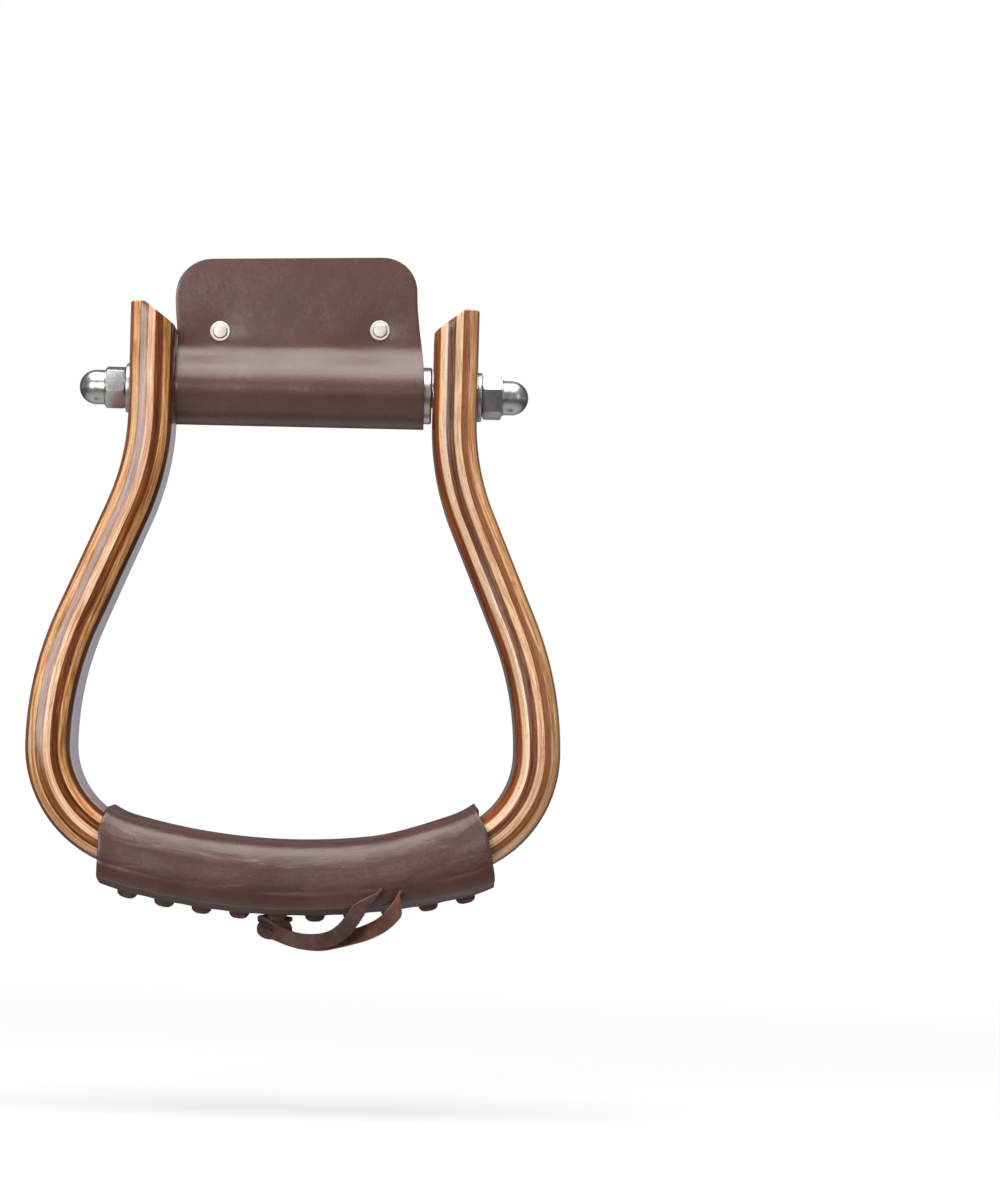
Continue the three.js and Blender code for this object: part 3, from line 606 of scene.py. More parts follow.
def ply_material(name, index, stops, inner_stops, fleck, seed, coat_ior=1.6, right_sheen_tint=None, shift=BAND_SHIFT):
    """Edge of a ply under varnish: streaks along the bend, short pores and a dark line at the glue.

    index counts the plies from the inside. The bands move outwards on the right leg, so this ply
    starts there with the colours of its inner neighbour, inner_stops. A paler colour given for the right
    leg is mixed in there as well: painted sheen of the varnish on that leg.
    """
    shader = Shader(name)
    place = varnished(shader, coat_ior=coat_ior)
    s, _, t = shader.parts(place)
    on_right = shader.range(s, *RIGHT_LEG)
    streaks = shader.noise(place, (0.035, 0.6, 1.3), 6, 0.68, 0.5, (seed, 0, 0))
    body = shader.ramp(streaks, stops)
    # Painted sheen: the ply is made paler on the right leg, where its varnish shines.
    if right_sheen_tint:
        body = shader.over(body, on_right, 0.65, right_sheen_tint)
    moved = shader.minus(t, shader.times(on_right, shift))
    own_start = VENEER_THICKNESS + index * PLY_THICKNESS
    inner_body = shader.ramp(streaks, inner_stops)
    body = shader.mix(shader.range(moved, own_start, own_start - 0.2), body, inner_body)
    slow = shader.noise(place, (0.012, 0.06, 0.25), 2, shift=(seed, 3, 0))
    body = shader.shaded(body, slow, (0.3, 0.80), (0.7, 1.12))
    lines = shader.noise(place, (0.09, 1.8, 4.5), 4, 0.65, shift=(0, 0, seed))
    body = shader.shaded(body, lines, (0.34, 0.68), (0.62, 1.08))
    pores = shader.noise(place, (0.45, 2.4, 5.5), 3, 0.6, shift=(0, seed, 0))
    body = shader.over(body, shader.range(pores, 0.57, 0.68), 0.6, fleck)
    in_plies = shader.maths("DIVIDE", shader.minus(moved, VENEER_THICKNESS), PLY_THICKNESS)
    off_middle = shader.maths("ABSOLUTE", shader.minus(shader.maths("FRACT", in_plies), 0.5))
    body = shader.over(body, shader.range(off_middle, 0.41, 0.5), 0.6, (76, 40, 24))
    shader.set(Base_Color=body)
    shader.bump((pores, 0.15, 0.08))
    return shader.material


def veneer_material(name, seed, sapwood=False, swirl=None, pale_edge=False):
    """Figured face veneer: reddish brown heartwood with dark streaks.

    swirl is the place (s, y) of a knot in its figure. pale_edge is its pale edge on the right leg.
    """
    shader = Shader(name)
    place = varnished(shader, coat_roughness=0.1)
    s, y, t = shader.parts(place)
    warp = shader.noise(place, (0.016, 0.03, 0.0), 2, shift=(seed, 0, 0))
    bent = shader.plus(y, shader.times(shader.minus(warp, 0.5), 9.0))
    if swirl:
        along = shader.maths("DIVIDE", shader.minus(s, swirl[0]), 11.0)
        across = shader.maths("DIVIDE", shader.minus(y, swirl[1]), 4.5)
        bent = shader.plus(bent, shader.times(shader.hill(along, across), 4.0))
    flow = shader.joined(s, bent, t)
    figure = shader.noise(flow, (0.03, 0.4, 0.1), 7, 0.62, 0.2, (seed, 1, 0))
    body = shader.ramp(figure, HEARTWOOD)
    streak = shader.noise(flow, (0.045, 1.5, 0.3), 6, 0.7, 0.1, (0, seed, 2))
    body = shader.over(body, shader.range(streak, 0.54, 0.70), 0.6, (64, 26, 14))
    cloud = shader.noise(flow, (0.032, 0.09, 0.0), 3, 0.6, shift=(seed, 6, 3))
    body = shader.shaded(body, cloud, (0.32, 0.6), (0.68, 1.18))
    fine = shader.noise(flow, (0.09, 4.2, 1.0), 4, 0.65, shift=(0, 0, seed))
    body = shader.shaded(body, fine, (0.3, 0.7), (0.7, 1.2))
    pores = shader.noise(flow, (0.16, 4.5, 2.0), 2, 0.6, shift=(seed, 5, 1))
    body = shader.over(body, shader.range(pores, 0.63, 0.72), 0.6, (48, 18, 10))
    # The sapwood band comes with painted shade on the rounded front edge.
    if sapwood:
        body = sapwood_and_painted_shade(shader, body, place, s, fine, seed)
    if pale_edge:
        on_edge = shader.range(t, THICKNESS - 0.55, THICKNESS - 0.8)
        grain = shader.ramp(fine, [(0.3, (186, 126, 74)), (0.7, (226, 170, 114))])
        body = shader.mix(shader.times(on_edge, shader.range(s, *RIGHT_LEG)), body, grain)
    shader.set(Base_Color=body)
    shader.bump((pores, 0.12, 0.06))
    return shader.material


def sapwood_and_painted_shade(shader, body, place, s, fine, seed):
    """Pale band of sapwood on the left leg's inner face, and painted shade that darkens the rounded front
    edge, deepest on the left leg.

    rim is the distance from the front edge. The band is widest low on the leg and pinched in its middle.
    """
    rim = shader.place("rim", "Fac")
    wavy = shader.noise(place, (0.05, 0.0, 0.0), 3, shift=(seed, 9, 0))
    width = shader.plus(shader.times(wavy, 5.0), 9.5)
    width = shader.plus(width, shader.range(s, -s_at(-75), -s_at(-95), 0.0, 2.5))
    from_pinch = shader.maths("DIVIDE", shader.plus(s, s_at(-60)), 9.0)
    width = shader.minus(width, shader.times(shader.hill(from_pinch), 6.5))
    pale = shader.range(shader.minus(width, rim), -0.25, 0.25)
    pale = shader.times(pale, shader.range(rim, 6.6, 7.4))
    pale = shader.times(pale, shader.range(s, -30.0, -60.0))
    grain = shader.ramp(fine, [(0.3, (168, 104, 46)), (0.7, (218, 158, 86))])
    body = shader.mix(pale, body, grain)
    # Painted shade: the rounded front edge is darkened, much more on the left leg than on the right.
    side = shader.range(s, -20.0, 20.0)
    shade = shader.shaded(body, side, (0.0, (150, 165, 165)), (1.0, (255, 226, 178)))
    return shader.over(body, shader.range(rim, 6.4, 5.4), 0.85, shade)


def leather_material(name, base, deep, roughness=0.27, wrinkles=0.0):
    """Smooth finished hide: fine pebbled grain, slow mottling and a soft shine."""
    shader = Shader(name)
    shader.set(Roughness=roughness, Specular_IOR_Level=0.5)
    place = shader.place("hide")
    mottle = shader.noise(place, (0.05, 0.05, 0.05), 4, 0.6)
    crease = shader.range(shader.cells(place, (1.6, 1.6, 1.6)), 0.0, 0.25)
    # Painted shade: the body is darkened in the creases of the grain.
    body = shader.shaded(shader.ramp(mottle, [(0.3, deep), (0.7, base)]), crease, (0.0, 0.86), (1.0, 1.0))
    fine = shader.noise(place, (2.5, 2.5, 2.5), 4, 0.7)
    dull = shader.range(mottle, 0.2, 0.8, roughness + 0.06, roughness - 0.04)
    facing = shader.add("ShaderNodeLayerWeight", output="Facing")
    matt = shader.plus(dull, shader.range(facing, 0.75, 1.0, 0.0, 0.35))
    shader.set(Base_Color=body, Roughness=matt)
    soft = shader.noise(place, (0.16, 0.16, 0.16), 2)
    layers = [(soft, 0.25, 0.5), (crease, 0.25, 0.05), (fine, 0.25, 0.03)]
    if wrinkles:
        drawn = shader.noise(place, (0.07, 0.26, 0.25), 2, 0.45, 0.6)
        layers.insert(0, (drawn, wrinkles, 0.6))
    shader.bump(*layers)
    return shader.material


def raw_leather_material(name, light, deep):
    """Cut edge or flesh side: matt, fibrous and paler."""
    shader = Shader(name)
    fibres = shader.noise(shader.own(), (1500, 900, 1500), 4, 0.7)
    body = shader.ramp(fibres, [(0.3, deep), (0.7, light)])
    shader.set(Base_Color=body, Roughness=0.9, Specular_IOR_Level=0.2)
    shader.bump((fibres, 0.5, 0.12))
    return shader.material


def lace_material(name, base, deep, edge):
    """Oiled lace: brown on its broad faces and paler where it is cut."""
    shader = Shader(name)
    shader.set(Roughness=0.6, Specular_IOR_Level=0.35)
    place = shader.place("hide")
    _, across, _ = shader.parts(place)
    mottle = shader.noise(place, (0.22, 0.5, 0.5), 5, 0.65)
    cut = shader.range(shader.maths("ABSOLUTE", across), 0.86, 1.0)
    body = shader.over(shader.ramp(mottle, [(0.3, deep), (0.7, base)]), cut, 0.8, edge)
    fine = shader.noise(place, (1.8, 4.0, 4.0), 4, 0.7)
    matt = shader.ramp(fine, [(0.3, 0.52), (0.7, 0.72)])
    shader.set(Base_Color=body, Roughness=matt)
    shader.bump((fine, 0.35, 0.08), (mottle, 0.4, 0.25))
    return shader.material


def metal_material(name, base, roughness, scratch=0.1, stretch=(300, 300, 300)):
    """Bright metal with fine wear: slightly uneven gloss and hairline scratches."""
    shader = Shader(name)
    place = shader.own()
    cloud = shader.noise(place, (120, 120, 120), 4, 0.6)
    lines = shader.noise(place, stretch, 5, 0.7)
    dark = (*(c * 0.86 for c in base), 1)
    body = shader.mix(shader.range(cloud, 0.35, 0.7), (*base, 1), dark)
    both = shader.mix(0.5, cloud, lines)
    gloss = shader.ramp(both, [(0.3, roughness * 0.75), (0.7, roughness * 1.35)])
    shader.set(Base_Color=body, Metallic=1.0, Roughness=gloss)
    shader.bump((lines, scratch, 0.03))
    return shader.material


# Colours of the wood from dark to pale streaks, as (place on the ramp, colour).
OUTER_LIGHT = [
    (0.32, (128, 72, 34)), (0.43, (204, 138, 84)), (0.54, (240, 184, 134)), (0.68, (252, 216, 176)),
]
MIDDLE_LIGHT = [
    (0.32, (160, 98, 60)), (0.42, (220, 160, 116)), (0.54, (244, 198, 158)), (0.68, (253, 222, 190)),
]
INNER_LIGHT = [
    (0.32, (100, 52, 20)), (0.43, (172, 110, 60)), (0.55, (216, 154, 96)), (0.68, (250, 206, 156)),
]
OUTER_DARK = [(0.32, (74, 32, 12)), (0.43, (118, 62, 26)), (0.55, (148, 86, 42)), (0.68, (192, 128, 76))]
INNER_DARK = [(0.32, (50, 18, 5)), (0.43, (94, 43, 14)), (0.55, (124, 64, 24)), (0.68, (178, 108, 54))]
VENEER_EDGE = [(0.32, (112, 56, 22)), (0.68, (156, 86, 38))]
# Paler colours of the plies on the right leg, where they carry painted sheen of the varnish.
SHEEN_CREAM = [(0.32, (204, 152, 110)), (0.5, (236, 192, 152)), (0.68, (252, 224, 194))]
SHEEN_BROWN = [(0.32, (112, 60, 28)), (0.55, (152, 92, 54)), (0.68, (186, 126, 82))]
HEARTWOOD = [
    (0.26, (86, 36, 20)), (0.40, (120, 56, 26)), (0.50, (146, 74, 32)), (0.60, (168, 94, 38)),
    (0.76, (194, 122, 56)),
]
# Painted sheen on the right leg: this colour is mixed into the inner light ply there, and a paler brown
# into the outer dark ply.
SHEEN_GOLDEN = (250, 212, 180)
golden_ply = ply_material("golden_ply", 0, INNER_LIGHT, VENEER_EDGE, (96, 50, 20), 31.0, 1.5, SHEEN_GOLDEN)
dark_ply = ply_material("dark_ply", 1, INNER_DARK, SHEEN_CREAM, (40, 16, 8), 7.0, 1.42)
middle_ply = ply_material("middle_ply", 2, MIDDLE_LIGHT, INNER_DARK, (160, 98, 56), 17.0)
brown_ply = ply_material("brown_ply", 3, OUTER_DARK, MIDDLE_LIGHT, (54, 24, 12), 11.0, right_sheen_tint=(164, 98, 56))
light_ply = ply_material("light_ply", 4, OUTER_LIGHT, SHEEN_BROWN, (120, 66, 30), 3.0, shift=0.4)
inner_veneer = veneer_material("inner_veneer", 4.0, sapwood=True)
outer_veneer = veneer_material("outer_veneer", 23.0, swirl=(s_at(-28), -3.0), pale_edge=True)
hide = leather_material("chocolate_hide", (99, 70, 64), (83, 56, 50))
tread_hide = leather_material("tread_hide", (97, 66, 60), (76, 48, 43), 0.28, 0.4)
cut_edge = raw_leather_material("cut_leather_edge", (176, 140, 108), (120, 88, 68))
flesh = raw_leather_material("flesh_side", (112, 84, 68), (82, 58, 46))
lace_hide = lace_material("lace_hide", (108, 76, 68), (68, 45, 40), (124, 90, 76))
tail_hide = lace_material("rough_tail_hide", (126, 84, 66), (84, 54, 44), (158, 112, 80))
plated = metal_material("plated_steel", (0.56, 0.56, 0.54), 0.34)
polished = metal_material("polished_nickel", (0.60, 0.60, 0.58), 0.27, 0.05)
tube_steel = metal_material("tube_steel", (0.64, 0.63, 0.61), 0.28, 0.1, (60, 1500, 1500))
rivet_nickel = metal_material("rivet_nickel", (0.80, 0.76, 0.70), 0.5, 0.12)


def dress(obj, node, body, slot, *materials):
    """Gives a piece its materials, the solid that it replaces and the body that it rides on. Its slot is
    not used.
    """
    for material in materials:
        obj.data.materials.append(material)
    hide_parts(node)
    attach(obj, body)


# Wood.
def ply_depths(t0, t1):
    """Places through one ply, closer together where the long edges are round."""
    rounds = [EDGE_ROUND_THICKNESS * (1 - math.cos(math.radians(a))) for a in range(0, 91, 9)]
    flat = np.arange(EDGE_ROUND_THICKNESS + 0.5, THICKNESS - EDGE_ROUND_THICKNESS, 0.6)
    every = sorted({*rounds, *(THICKNESS - r for r in rounds), *flat})
    inside = [t for t in every if t0 + 0.04 < t < t1 - 0.04]
    return [t0, *inside, t1]


def leg_end_z(t):
    """Height of the leg's bevelled end at t through its wood."""
    edge = NECK_OUTER - TOP_FLAT
    x = NECK_INNER_WIDTH / 2 + t
    return LEG_TOP - max(0.0, edge - x) * math.tan(TOP_BEVEL)


def ply(name, node, t0, t1, slot, material):
    """One layer of the bell, between t0 and t1 through its thickness."""
    depths = ply_depths(t0, t1)
    bare_inside = t0 < 1e-6
    bare_outside = t1 > THICKNESS - 1e-6
    broad = 15  # points across a bare face

    def ring(place, inset=0.0):
        """One section: front edge, outer face, back edge, inner face, as (s, y, t)."""
        rows = []
        for t in depths:
            kept = min(max(t, inset), THICKNESS - inset)
            s, z = place(kept)
            rows.append((s, half_depth_at(kept, depth_at(z)) - inset, kept))
        front = [(s, -h, t) for s, h, t in rows]
        back = [(s, h, t) for s, h, t in reversed(rows)]
        outer = inner = []
        if bare_outside:
            s, h, t = rows[-1]
            outer = [(s, -h + 2 * h * i / (broad + 1), t) for i in range(1, broad + 1)]
        if bare_inside:
            s, h, t = rows[0]
            inner = [(s, h - 2 * h * i / (broad + 1), t) for i in range(1, broad + 1)]
        return [*front, *outer, *back, *inner]

    def bent(s):
        return lambda t: (s, bell_frame(s)[0][1])

    def upright(share, short, side):
        """Section on the straight leg, share of the way to its end, or short of it."""

        def place(t):
            z = -NECK_DROP + (leg_end_z(t) + NECK_DROP) * share - short
            return side * (BENT_LENGTH + NECK_DROP + z), z

        return place

    steps = round(BENT_LENGTH / 2.2)
    lower = [BENT_LENGTH * i / steps for i in range(-steps, steps + 1)]
    turns = [math.radians(a) for a in (0, 30, 60, 90)]
    top = [(share, 0.0, 0.0) for share in (0.2, 0.4, 0.6, 0.78, 0.9)]
    top += [(1.0, END_ROUND * (1 - math.sin(a)), END_ROUND * (1 - math.cos(a))) for a in turns]
    left = [ring(upright(share, short, -1), inset) for share, short, inset in reversed(top)]
    right = [ring(upright(share, short, 1), inset) for share, short, inset in top]
    rings = left + [ring(bent(s)) for s in lower] + right
    count = len(rings[0])
    coords = [point for section in rings for point in section]
    faces = skin(len(rings), count)
    n = len(depths)
    back_start = n + (broad if bare_outside else 0)
    for base in (0, (len(rings) - 1) * count):
        for i in range(n - 1):
            face = [base + i, base + i + 1, base + back_start + n - 2 - i, base + back_start + n - 1 - i]
            if i == n - 2 and bare_outside:
                face[2:2] = [base + n + j for j in range(broad)]
            if i == 0 and bare_inside:
                face += [base + back_start + n + j for j in range(broad)]
            faces.append(tuple(face))
    obj = make_object(name, [on_bell(*point) for point in coords], faces, coords)
    rim = obj.data.attributes.new("rim", "FLOAT", "POINT")
    for i, (s, y, t) in enumerate(coords):
        rim.data[i].value = y + depth_at(on_bell(s, y, t)[2]) / 2
    dress(obj, node, "frame", slot, material)


CORE = [
    ("inner_light_ply", "light_ply", golden_ply),
    ("inner_dark_ply", "dark_ply", dark_ply),
    ("middle_light_ply", "light_ply", middle_ply),
    ("outer_dark_ply", "dark_ply", brown_ply),
    ("outer_light_ply", "light_ply", light_ply),
]
core_end = THICKNESS - VENEER_THICKNESS
ply("varnished_inner_veneer", "inner_face_veneer", 0, VENEER_THICKNESS, "face_veneer", inner_veneer)
for index, (node, slot, material) in enumerate(CORE):
    start = VENEER_THICKNESS + index * PLY_THICKNESS
    ply("varnished_" + node, node, start, start + PLY_THICKNESS, slot, material)
ply("varnished_outer_veneer", "outer_face_veneer", core_end, THICKNESS, "face_veneer", outer_veneer)


# Hardware.
NUT_SEAT = NECK_OUTER + WASHER_THICKNESS


def acorn_nut(name, node, turn, side):
    """Chamfered hexagon with a raised shoulder and a polished dome."""
    corner = NUT_ACROSS_FLATS / math.sqrt(3)
    turned = NUT_ACROSS_FLATS / 2 - 0.3  # radius left where the chamfers end
    hex_end = NUT_SEAT + NUT_HEX_LENGTH
    verts = []
    for x in (NUT_SEAT, hex_end):
        for i in range(6):
            angle = turn + i * math.pi / 3
            verts.append((x, corner * math.cos(angle), corner * math.sin(angle)))
    faces = [tuple(range(6)), tuple(range(6, 12))]
    faces += [(i, (i + 1) % 6, (i + 1) % 6 + 6, i + 6) for i in range(6)]
    body = make_object(name, verts, faces)
    half = [(NUT_SEAT - 1, 0), (NUT_SEAT - 1, turned), (NUT_SEAT, turned), (NUT_SEAT + NUT_BEVEL, corner)]
    other = [(NUT_SEAT + hex_end - x, r) for x, r in reversed(half)]
    envelope = lathe(name + "_turned", half + other, "X")
    cut = body.modifiers.new("turned", "BOOLEAN")
    filled(cut, operation="INTERSECT", solver="EXACT", object=envelope)
    applied(body, 25)
    bpy.data.objects.remove(envelope)
    bevelled(body, 0.16, 25, 25)
    radius = NUT_DOME_DIAMETER / 2
    dome_start = hex_end + NUT_DOME_LENGTH - radius
    rise = arc((dome_start, 0), radius, 90, 0, 24)[:-1]
    foot = [(hex_end - 1, 0), (hex_end - 1, radius + 0.35), (hex_end + 0.15, radius + 0.35)]
    neck = [(hex_end + 0.35, radius + 0.12), (hex_end + 0.7, radius)]
    dome = lathe(name + "_dome", [*foot, *neck, *rise, (dome_start + radius, 0)], "X")
    joined_mesh(body, dome)
    if side < 0:
        body.data.transform(Matrix.Rotation(math.pi, 4, "Z"))
    dress(body, node, "frame", "chrome", polished)


def washer(name, node, side):
    bore = ROD_DIAMETER / 2 + CLEARANCE
    rim = WASHER_DIAMETER / 2
    back = NECK_OUTER + WASHER_LIFT
    profile = [
        (back, bore),
        (back, rim - 0.15),
        *arc((NECK_OUTER + 0.35, rim - 0.3), 0.3, 120, 90, 3),
        *arc((NUT_SEAT - 0.55, rim - 0.55), 0.55, 90, 0, 6),
        (NUT_SEAT, bore + 0.2),
        (NUT_SEAT - 0.2, bore),
        (back, bore),
    ]
    obj = lathe(name, [(side * x, r) for x, r in profile], "X")
    dress(obj, node, "frame", "steel", plated)


def roller_sleeve():
    """Steel tube with rounded ends, closed by a disc a little inside each end."""
    bore = ROD_DIAMETER / 2 + CLEARANCE
    radius = ROLLER_DIAMETER / 2
    half = NECK_INNER_WIDTH / 2 - CLEARANCE
    inner = radius - TUBE_WALL
    right = arc((half - ROLLER_EDGE, radius - ROLLER_EDGE), ROLLER_EDGE, 90, 0, 8)
    right += [(half, inner + 0.3), (half - 0.3, inner), (half - 0.9, inner), (half - 0.9, bore)]
    left = [(-x, r) for x, r in reversed(right)]
    middle = [(x, radius) for x in np.linspace(-half + 4, half - 4, 12)]
    obj = lathe("steel_roller_sleeve", [*left, *middle, *right, left[0]], "X")
    dress(obj, "roller_sleeve", "sleeve", "roller_steel", tube_steel)


acorn_nut("right_dome_nut", "right_acorn_nut", RIGHT_NUT_TURN, 1)
acorn_nut("left_dome_nut", "left_acorn_nut", LEFT_NUT_TURN, -1)
washer("right_plated_washer", "right_washer", 1)
washer("left_plated_washer", "left_washer", -1)
roller_sleeve()
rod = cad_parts["threaded_rod"]
for slot_place in rod.material_slots:
    slot_place.material = plated


# Keeper.
LOOP_RADIUS = ROLLER_DIAMETER / 2 + CLEARANCE + KEEPER_LEATHER / 2
LAYER_Y = CLEARANCE / 2 + KEEPER_LEATHER / 2
FLAP_FACE = CLEARANCE / 2 + KEEPER_LEATHER
KEEPER_HALF = NECK_INNER_WIDTH / 2 - KEEPER_SIDE_GAP
RIVETS = [RIVET_LEAN + KEEPER_SHIFT + side * (KEEPER_HALF - RIVET_INSET) for side in (-1, 1)]


def wave(*terms):
    """Sum of slow sine waves, each (height, value over its wavelength, phase)."""
    return sum(height * math.sin(2 * math.pi * turns + phase) for height, turns, phase in terms)


def keeper_line():
    """Middle of the leather in (Y, Z): down the front flap, round the roller and up the back flap."""
    meet = math.degrees(KEEPER_SLOPE)
    leave_y, leave_z = -LOOP_RADIUS * math.cos(KEEPER_SLOPE), LOOP_RADIUS * math.sin(KEEPER_SLOPE)
    across = LAYER_Y + KEEPER_FILLET
    join_y = -across + KEEPER_FILLET * math.cos(KEEPER_SLOPE)
    join_z = leave_z + (join_y - leave_y) / math.tan(KEEPER_SLOPE)
    fillet_z = join_z + KEEPER_FILLET * math.sin(KEEPER_SLOPE)
    corner = [KEEPER_CORNER * (1 - math.cos(math.radians(a))) for a in range(0, 91, 10)]
    flap = [(-LAYER_Y, KEEPER_TOP - d) for d in corner]
    flap += resampled([flap[-1], (-LAYER_Y, fillet_z)], 1.6)[1:]
    front = [*flap, *arc((-across, fillet_z), KEEPER_FILLET, 0, -meet, 10)[1:]]
    front += resampled([front[-1], (leave_y, leave_z)], 1.2)[1:]
    loop = arc((0, 0), LOOP_RADIUS, 180 - meet, 360 + meet, 60)
    back = [(-y, z) for y, z in reversed(front)]
    return [*front, *loop[1:-1], *back]


def settled(x, y, z):
    """Where the leather lies, which sits a little crooked on the roller."""
    return x, y, z + KEEPER_SKEW * x * (0.15 + 0.85 * smoothstep(z, 2, 24))


def keeper():
    line = keeper_line()
    along = running(line)
    columns = 72
    verts, coords = [], []
    for i, (y, z) in enumerate(line):
        ny, nz = normal_at(line, i)
        inset = KEEPER_CORNER * quarter_round(max(1 - (KEEPER_TOP - z) / KEEPER_CORNER, 0))
        left = KEEPER_LEFT + KEEPER_LEAN_LEFT * smoothstep(z, 17, 32) + inset
        right = KEEPER_RIGHT + KEEPER_LEAN_RIGHT * smoothstep(z, 0, 34) - inset
        for j in range(columns + 1):
            x = left + (right - left) * j / columns
            lift = keeper_lift(x, z)
            verts.append(settled(x, y + ny * lift, z + nz * lift))
            coords.append((x, along[i], 0))
    obj = make_object("keeper_leather", verts, skin(len(line), columns + 1, False), coords, "hide")
    flip_to(obj, lambda centre: Vector((0, centre[1], centre[2])))
    thickened(obj, KEEPER_LEATHER, CUT_EDGE)
    dress(obj, "leather_keeper", "keeper", "keeper_leather", hide, cut_edge, flesh)


def keeper_lift(x, z):
    """How far the leather stands out: drawn in at each rivet, slack elsewhere and uneven at the flare."""
    flap = plateau(z, 9, 19, 34, 45)
    lift = KEEPER_SLACK * flap
    for place in RIVETS:
        away = math.hypot(x - place, z - RIVET_HEIGHT)
        lift -= KEEPER_SLACK * flap * hump(away, KEEPER_DIMPLE)
    flare = plateau(z, 6, 13, 16, 22)
    lift += 0.3 * flare * (1 + wave((1, x / 52, 2.2), (0.5, x / 27, 0.4)))
    loop = plateau(z, -9, -2, 6, 16)
    lift += loop * (0.16 + wave((0.1, x / 57, 1.1), (0.05, x / 23, 0.3)))
    lift += KEEPER_RIDGE * hump(z - 0.5 + 0.012 * x, 2.4)
    return max(lift, 0.0)


def flip_to(obj, direction):
    """Turns a sheet's faces so that its grain side looks along direction, given for a face's centre."""
    mesh = obj.data
    score = 0.0
    for face in mesh.polygons:
        score += face.normal.dot(direction(face.center)) * face.area
    if score < 0:
        mesh.flip_normals()


def rivet(side, x):
    """Nickel rivet: its head behind the keeper and its peened end on a burr in front."""
    head = RIVET_HEAD_DIAMETER / 2
    shank = RIVET_SHANK_DIAMETER / 2
    peen = RIVET_PEEN_DIAMETER / 2
    centre = settled(x, 0, RIVET_HEIGHT)
    back, seat = FLAP_FACE, -FLAP_FACE
    front = seat - BURR_THICKNESS
    end = front - RIVET_PEEN_THICKNESS
    crown = [(end + 0.12 * (r / peen) ** 2, r) for r in np.linspace(0, peen * 0.85, 8)]
    body = [(end + 0.42, peen), (front, peen), (front, shank), (back, shank), (back, head)]
    rises = [(r, math.sqrt(1 - (r / head) ** 2 * 0.96)) for r in np.linspace(head, 0, 12)]
    dome = [(back + RIVET_HEAD_THICKNESS * rise, r) for r, rise in rises]
    obj = lathe(side + "_nickel_rivet", [*crown, *body, *dome], "Y", centre, 64)
    dress(obj, side + "_rivet", "keeper", "nickel", rivet_nickel)
    hole = shank + CLEARANCE
    rim = arc((front + 0.35, head - 0.35), 0.35, 90, 180, 5)
    dish = [(front + 0.12, peen + 0.15), (front, hole)]
    burr_line = [(seat, hole), (seat, head), *rim, *dish, (seat, hole)]
    burr = lathe(side + "_nickel_burr", burr_line, "Y", centre, 64)
    dress(burr, side + "_rivet_burr", "keeper", "nickel", rivet_nickel)


keeper()
rivet("left", RIVETS[0])
rivet("right", RIVETS[1])

# Tread leather.
BACK_FLAP_T = THICKNESS + SEAM_GAP
FRONT_FLAP_T = BACK_FLAP_T + TREAD_LEATHER + CLEARANCE
LACE_INSIDE_T = THICKNESS + SEAM_GAP / 2
LACE_ON_BACK_T = BACK_FLAP_T + TREAD_LEATHER + LACE_SLACK + LACE_THICKNESS / 2
LACE_ON_FRONT_T = FRONT_FLAP_T + TREAD_LEATHER + LACE_SLACK + LACE_THICKNESS / 2
LACE_LOWEST_T = FRONT_FLAP_T + TREAD_LEATHER + CLEARANCE + TAIL_THICKNESS


def stitches():
    """Places of the lacing's bars along the bell."""
    room = TREAD_COVER_LENGTH / 2 - STITCH_MARGIN
    pairs = math.floor(room / STITCH_PITCH + 0.5)
    return [STITCH_SHIFT + (i + 0.5) * STITCH_PITCH for i in range(-pairs, pairs)]


def cover_line():
    """Middle of the leather in (Y, t): drawn tight over the top, slack before the wood, flat below."""
    half = TREAD_LEATHER / 2
    top = -half - 0.1
    front = TREAD_DEPTH / 2 + COVER_SLACK
    shoulder = [(20.4, top + 0.25), (22.8, top + 1.2), (24.7, top + 3.1), (26.3, top + 5.7)]
    shoulder += [(27.5, top + 8.4), (front - 0.15, top + 11)]
    front_level = FRONT_FLAP_T + half
    back_level = BACK_FLAP_T + half
    front_part = [(front, 12.2), (28.0, 14.4), (27.6, 16.4), (27.0, 18.0), (26.2, 18.7), (24.6, 19.1)]
    front_part += [(21.6, 19.8), (18, front_level - 0.7)]
    back_part = [(front - 1.2, 11.6), (26.4, 13.6), (25.2, 15.6), (23, 17.2), (19.4, 18.3)]
    points = [(BACK_FLAP_EDGE, back_level), (0, back_level), (SEAM_HALF_WIDTH, back_level)]
    points += back_part[::-1] + [(y - 1.2 * smoothstep(t, 0, 9), t) for y, t in shoulder[::-1]]
    points += [(16, top), (5, top), (-5, top), (-16, top)]
    points += [(-y, t) for y, t in shoulder + front_part]
    points += [(-SEAM_HALF_WIDTH, front_level - 0.3), (-SEAM_HALF_WIDTH + 3, front_level)]
    points.append((FRONT_FLAP_EDGE, front_level))
    smooth_line = curve_through([Vector((y, t, 0)) for y, t in points], 4)
    return resampled([(p.x, p.y) for p in smooth_line], 0.9)


def cover_end(y, t, side):
    """s at which the cover ends: its cut end leans outwards below the top and is upright farther down."""
    reach, lean = COVER_RIGHT_END if side > 0 else COVER_LEFT_END
    top_z = on_bell(reach, 0, -CLEARANCE - TREAD_LEATHER)[2]
    low, high = reach - 15, reach + 15
    for _ in range(24):
        middle = (low + high) / 2
        x, _, z = on_bell(middle, y, t)
        drop = min(max(top_z - z, 0), COVER_LEAN_DROP)
        limit = reach + drop * math.tan(lean) - COVER_CORNER * (1 - smoothstep(drop, 0, 5))
        low, high = (middle, high) if x < limit else (low, middle)
    return side * low


